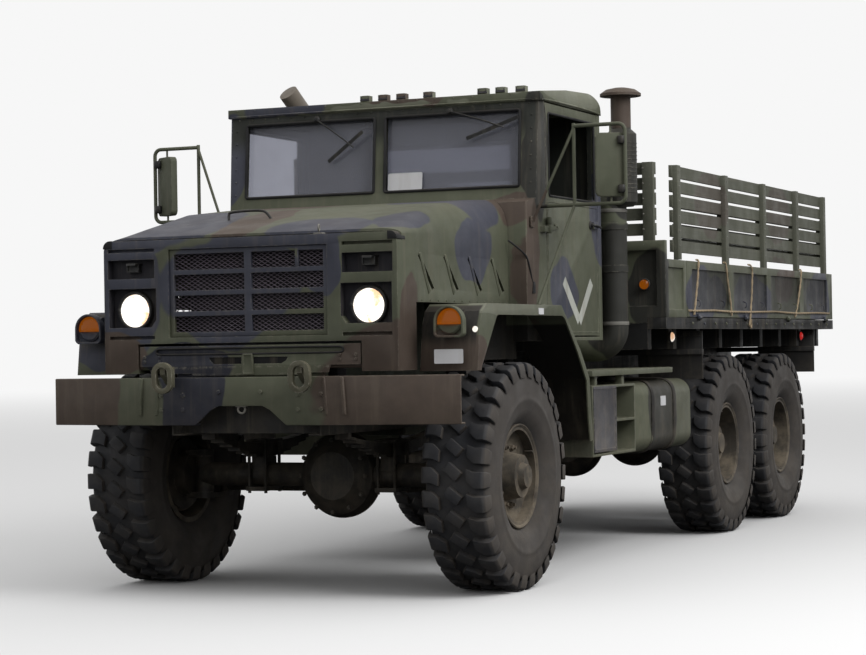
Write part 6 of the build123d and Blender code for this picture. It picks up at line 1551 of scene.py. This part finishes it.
# %% Gauges, pedals and levers
ring_model = turned("gauge_ring", [(-0.004, 0.034), (-0.004, 0.04), (0.006, 0.04), (0.009, 0.036), (0.004, 0.032),
                                   (-0.004, 0.034)], 28)
face_model = turned("gauge_face", [(-0.003, 0.0), (-0.003, 0.034), (0.001, 0.034), (0.0015, 0.004), (0.003, 0.003),
                                   (0.003, 0.0)], 28)
dash_face = Vector((0, 0.95, -0.12))
gauge_places = [aimed(at(x, 0.8925, 1.955), dash_face) for x in (0.28, 0.39, 0.57, 0.68)]
gauge_places += [aimed(at(x, 0.898, 1.905), dash_face) for x in (0.335, 0.625)]
fit("gauge_rings", copies(ring_model, gauge_places), black_metal)
fit("gauge_faces", copies(face_model, gauge_places), plate_white, slot="glass")
hub = turned("hub", [(-0.03, 0.0), (-0.03, 0.038), (0.006, 0.046), (0.02, 0.04), (0.026, 0.026), (0.028, 0.0)],
             28)
column = Vector((0, 0.44, 0.475))
fit("horn_button", copies(hub, [aimed(at(0.48, 1.115, 2.02), column)]), black_metal, slot="dash_paint",
    bevel=0.001)
levers = [pipe("lever", [at(x, 0.98, 1.352), at(x, 0.99, 1.5), at(x - 0.01, 1.06, 1.7), at(x - 0.01, 1.1, 1.8)],
               0.008) for x in (0.13, 0.18)]
knob = turned("knob", [(-0.018, 0), (-0.018, 0.01), (-0.006, 0.021), (0.008, 0.023), (0.02, 0.014), (0.023, 0)],
              18)
levers += copies(knob, [aimed(at(x - 0.01, 1.105, 1.815), (0, 0.3, 1)) for x in (0.13, 0.18)])
boot = turned("boot", [(-0.004, 0.0), (-0.004, 0.055), (0.012, 0.05), (0.02, 0.04), (0.032, 0.036),
                       (0.04, 0.026), (0.056, 0.022), (0.062, 0.012), (0.062, 0)], 24)
levers += copies(boot, [aimed(at(0.13, 0.98, 1.348), (0, 0, 1))])
for x in (0.34, 0.48, 0.63):
    pad = worked(bar("pedal", at(x - 0.035, 0.815, 1.475), at(x + 0.035, 0.835, 1.56)), "+y", ("cut", 4), "+y",
                 ("inset_each", 0.003), ("extrude", (0, 0.003, 0)))
    levers += [pad, pipe("pedal_arm", [at(x, 0.822, 1.52), at(x, 0.79, 1.44), at(x, 0.76, 1.4), at(x, 0.74, 1.36)],
                         0.009)]
fit("pedals_and_levers", levers, black_metal, slot="dash_paint", bevel=0.001)
print("the controls are in")

# %% [markdown]
# ## Engine bay and running gear
#
# With the hood tilted, a fan, its shroud, rocker covers and hoses show. Underneath there are the
# bolts of the front axle's cover, air pipes, and rows of bolts along the rails. At the rear are
# lit lamps, air couplings and the tailgate's chains.

# %% Engine bay
bay = []
fan_hub = turned("fan_hub", [(-0.03, 0), (-0.03, 0.06), (0.01, 0.055), (0.03, 0.04), (0.035, 0)], 24)
fan_at = at(0, -0.56, 1.43)
bay += copies(fan_hub, [aimed(fan_at, (0, -1, 0))])
blade = worked(bar("fan_blade", (-0.004, -0.045, 0.045), (0.004, 0.045, 0.235)), "+z", ("resize", (1, 1.35, 1)))
blade, = copies(blade, [Matrix.Rotation(radians(28), 4, "Z")])
bay += copies(blade, [aimed(fan_at, (0, -1, 0), 2 * pi * step / 6) for step in range(6)])
shroud = turned("shroud", [(-0.02, 0.262), (-0.02, 0.272), (0.075, 0.276), (0.08, 0.27), (0.075, 0.262),
                           (-0.02, 0.262)], 48)
bay += copies(shroud, [aimed(at(0, -0.545, 1.43), (0, -1, 0))])
fit("fan_and_shroud", bay, black_metal, slot="engine_iron", bevel=0.0015)
top = []
for x in (-0.16, 0.16):
    rocker = bar("rocker", at(x - 0.075, -0.35, 1.535), at(x + 0.075, 0.42, 1.6))
    top.append(worked(rocker, "+z", ("resize", (0.75, 0.95, 1)), ("inset", 0.012), ("extrude", (0, 0, 0.006))))
fit("rocker_covers", top, looks["engine_iron"], bevel=0.008, segments=3)
heads("rocker_bolts", [at(x, y, 1.607) for x in (-0.16, 0.16) for y in between(-0.28, 0.35, 6)], (0, 0, 1), 0.008,
      dull_steel, slot="engine_iron")
hoses = [pipe("hose", [at(0.2, -0.655, 1.74), at(0.2, -0.6, 1.74), at(0.14, -0.5, 1.7), at(0.06, -0.42, 1.62),
                       at(0.04, -0.36, 1.56)], 0.03),
         pipe("hose", [at(-0.24, -0.655, 1.2), at(-0.27, -0.62, 1.18), at(-0.33, -0.54, 1.16),
                       at(-0.34, -0.44, 1.14)], 0.028)]
fit("radiator_hoses", hoses, black_rubber)
print("the engine bay is filled")

# %% Running gear
cover_bolts = [at(0.09 + 0.195 * cos(angle), -0.13, 0.6 + 0.195 * sin(angle))
               for angle in between(0, 2 * pi * 11 / 12, 12)]
heads("axle_cover_bolts", cover_bolts, (0, -1, 0), 0.01, chassis)
for side, name in both_sides:
    rail_bolts = [at(side * 0.43, y, z) for y in between(-0.7, 6.2, 34) for z in (0.905, 1.045)]
    heads("rail_bolts_" + name, rail_bolts, (side, 0, 0), 0.009, chassis)
lines = [pipe("air_line", [at(side * 0.418, -0.8, 1.113), at(side * 0.418, 0.0, 1.113),
                           at(side * 0.418, 1.5, 1.113), at(side * 0.418, 2.1, 1.109)], 0.006)
         for side in left_right]
fit("air_lines", lines, black_rubber, slot="chassis_paint")
flap_faces = (3.091, 6.003)
flap_bolts = [at(side * x, y - 0.0005, 1.345) for side in left_right for y in flap_faces
              for x in between(0.79, 1.16, 5)]
heads("flap_bolts", flap_bolts, (0, -1, 0), 0.007, chassis)
bars = [bar("flap_bar", at(side * 0.975 - 0.215, y - 0.005, 1.33), at(side * 0.975 + 0.215, y - 0.0005, 1.36))
        for side in left_right for y in flap_faces]
fit("flap_bars", bars, chassis, bevel=0.0015)
print("each rail has", len(rail_bolts), "bolts")

# %% The rear: lamps, couplings and chains
cells = [aimed(at(side * x, 6.4505, z), (0, 1, 0)) for side in left_right
         for x, z in ((0.945, 1.335), (0.945, 1.285), (1.005, 1.31), (1.075, 1.31))]
cell = turned("cell", [(-0.003, 0.0), (-0.003, 0.021), (0.004, 0.02), (0.007, 0.012), (0.008, 0.0)], 20)
rear_cells = copies(cell, cells)
lamp_cases = []
for side in left_right:
    case = bar("lamp_case", at(side * 1.01 - 0.1105, 6.388, 1.2455), at(side * 1.01 + 0.1105, 6.4495, 1.3755))
    lamp_cases.append(worked(case, "+y", ("inset", 0.008), ("extrude", (0, -0.004, 0))))
fit("rear_lamp_cells", rear_cells, red_lamp)
cases = fit("rear_lamp_cases", lamp_cases, black_metal, bevel=0.006)
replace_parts(cases, "rear_lamps")
glad = turned("gladhand", [(-0.01, 0), (-0.01, 0.016), (0.02, 0.016), (0.024, 0.034), (0.04, 0.036),
                           (0.046, 0.028), (0.046, 0.014), (0.042, 0.0)], 24)
hands = copies(glad, [aimed(at(x, 6.452, 1.015), (0, 1, 0)) for x in (-0.235, 0.235)])
fit("air_couplings", hands, dull_steel, bevel=0.001)
link = start("torus", "link", major_radius=0.016, minor_radius=0.0042, major_segments=16, minor_segments=6,
             scale=(1.5, 1, 1))
for side, name in both_sides:
    top_at, low_at = at(side * 1.218, 6.428, 1.775), at(side * 1.218, 6.44, 1.49)
    run = top_at - low_at
    count = int(run.length / 0.034)
    links = [aimed(low_at + run * (step + 0.5) / count, run, pi / 2 * (step % 2)) for step in range(count)]
    fit("tailgate_chain_" + name, copies(link, links, keep=True), dull_steel, "tailgate")
bpy.data.objects.remove(link)
print("the rear is dressed")
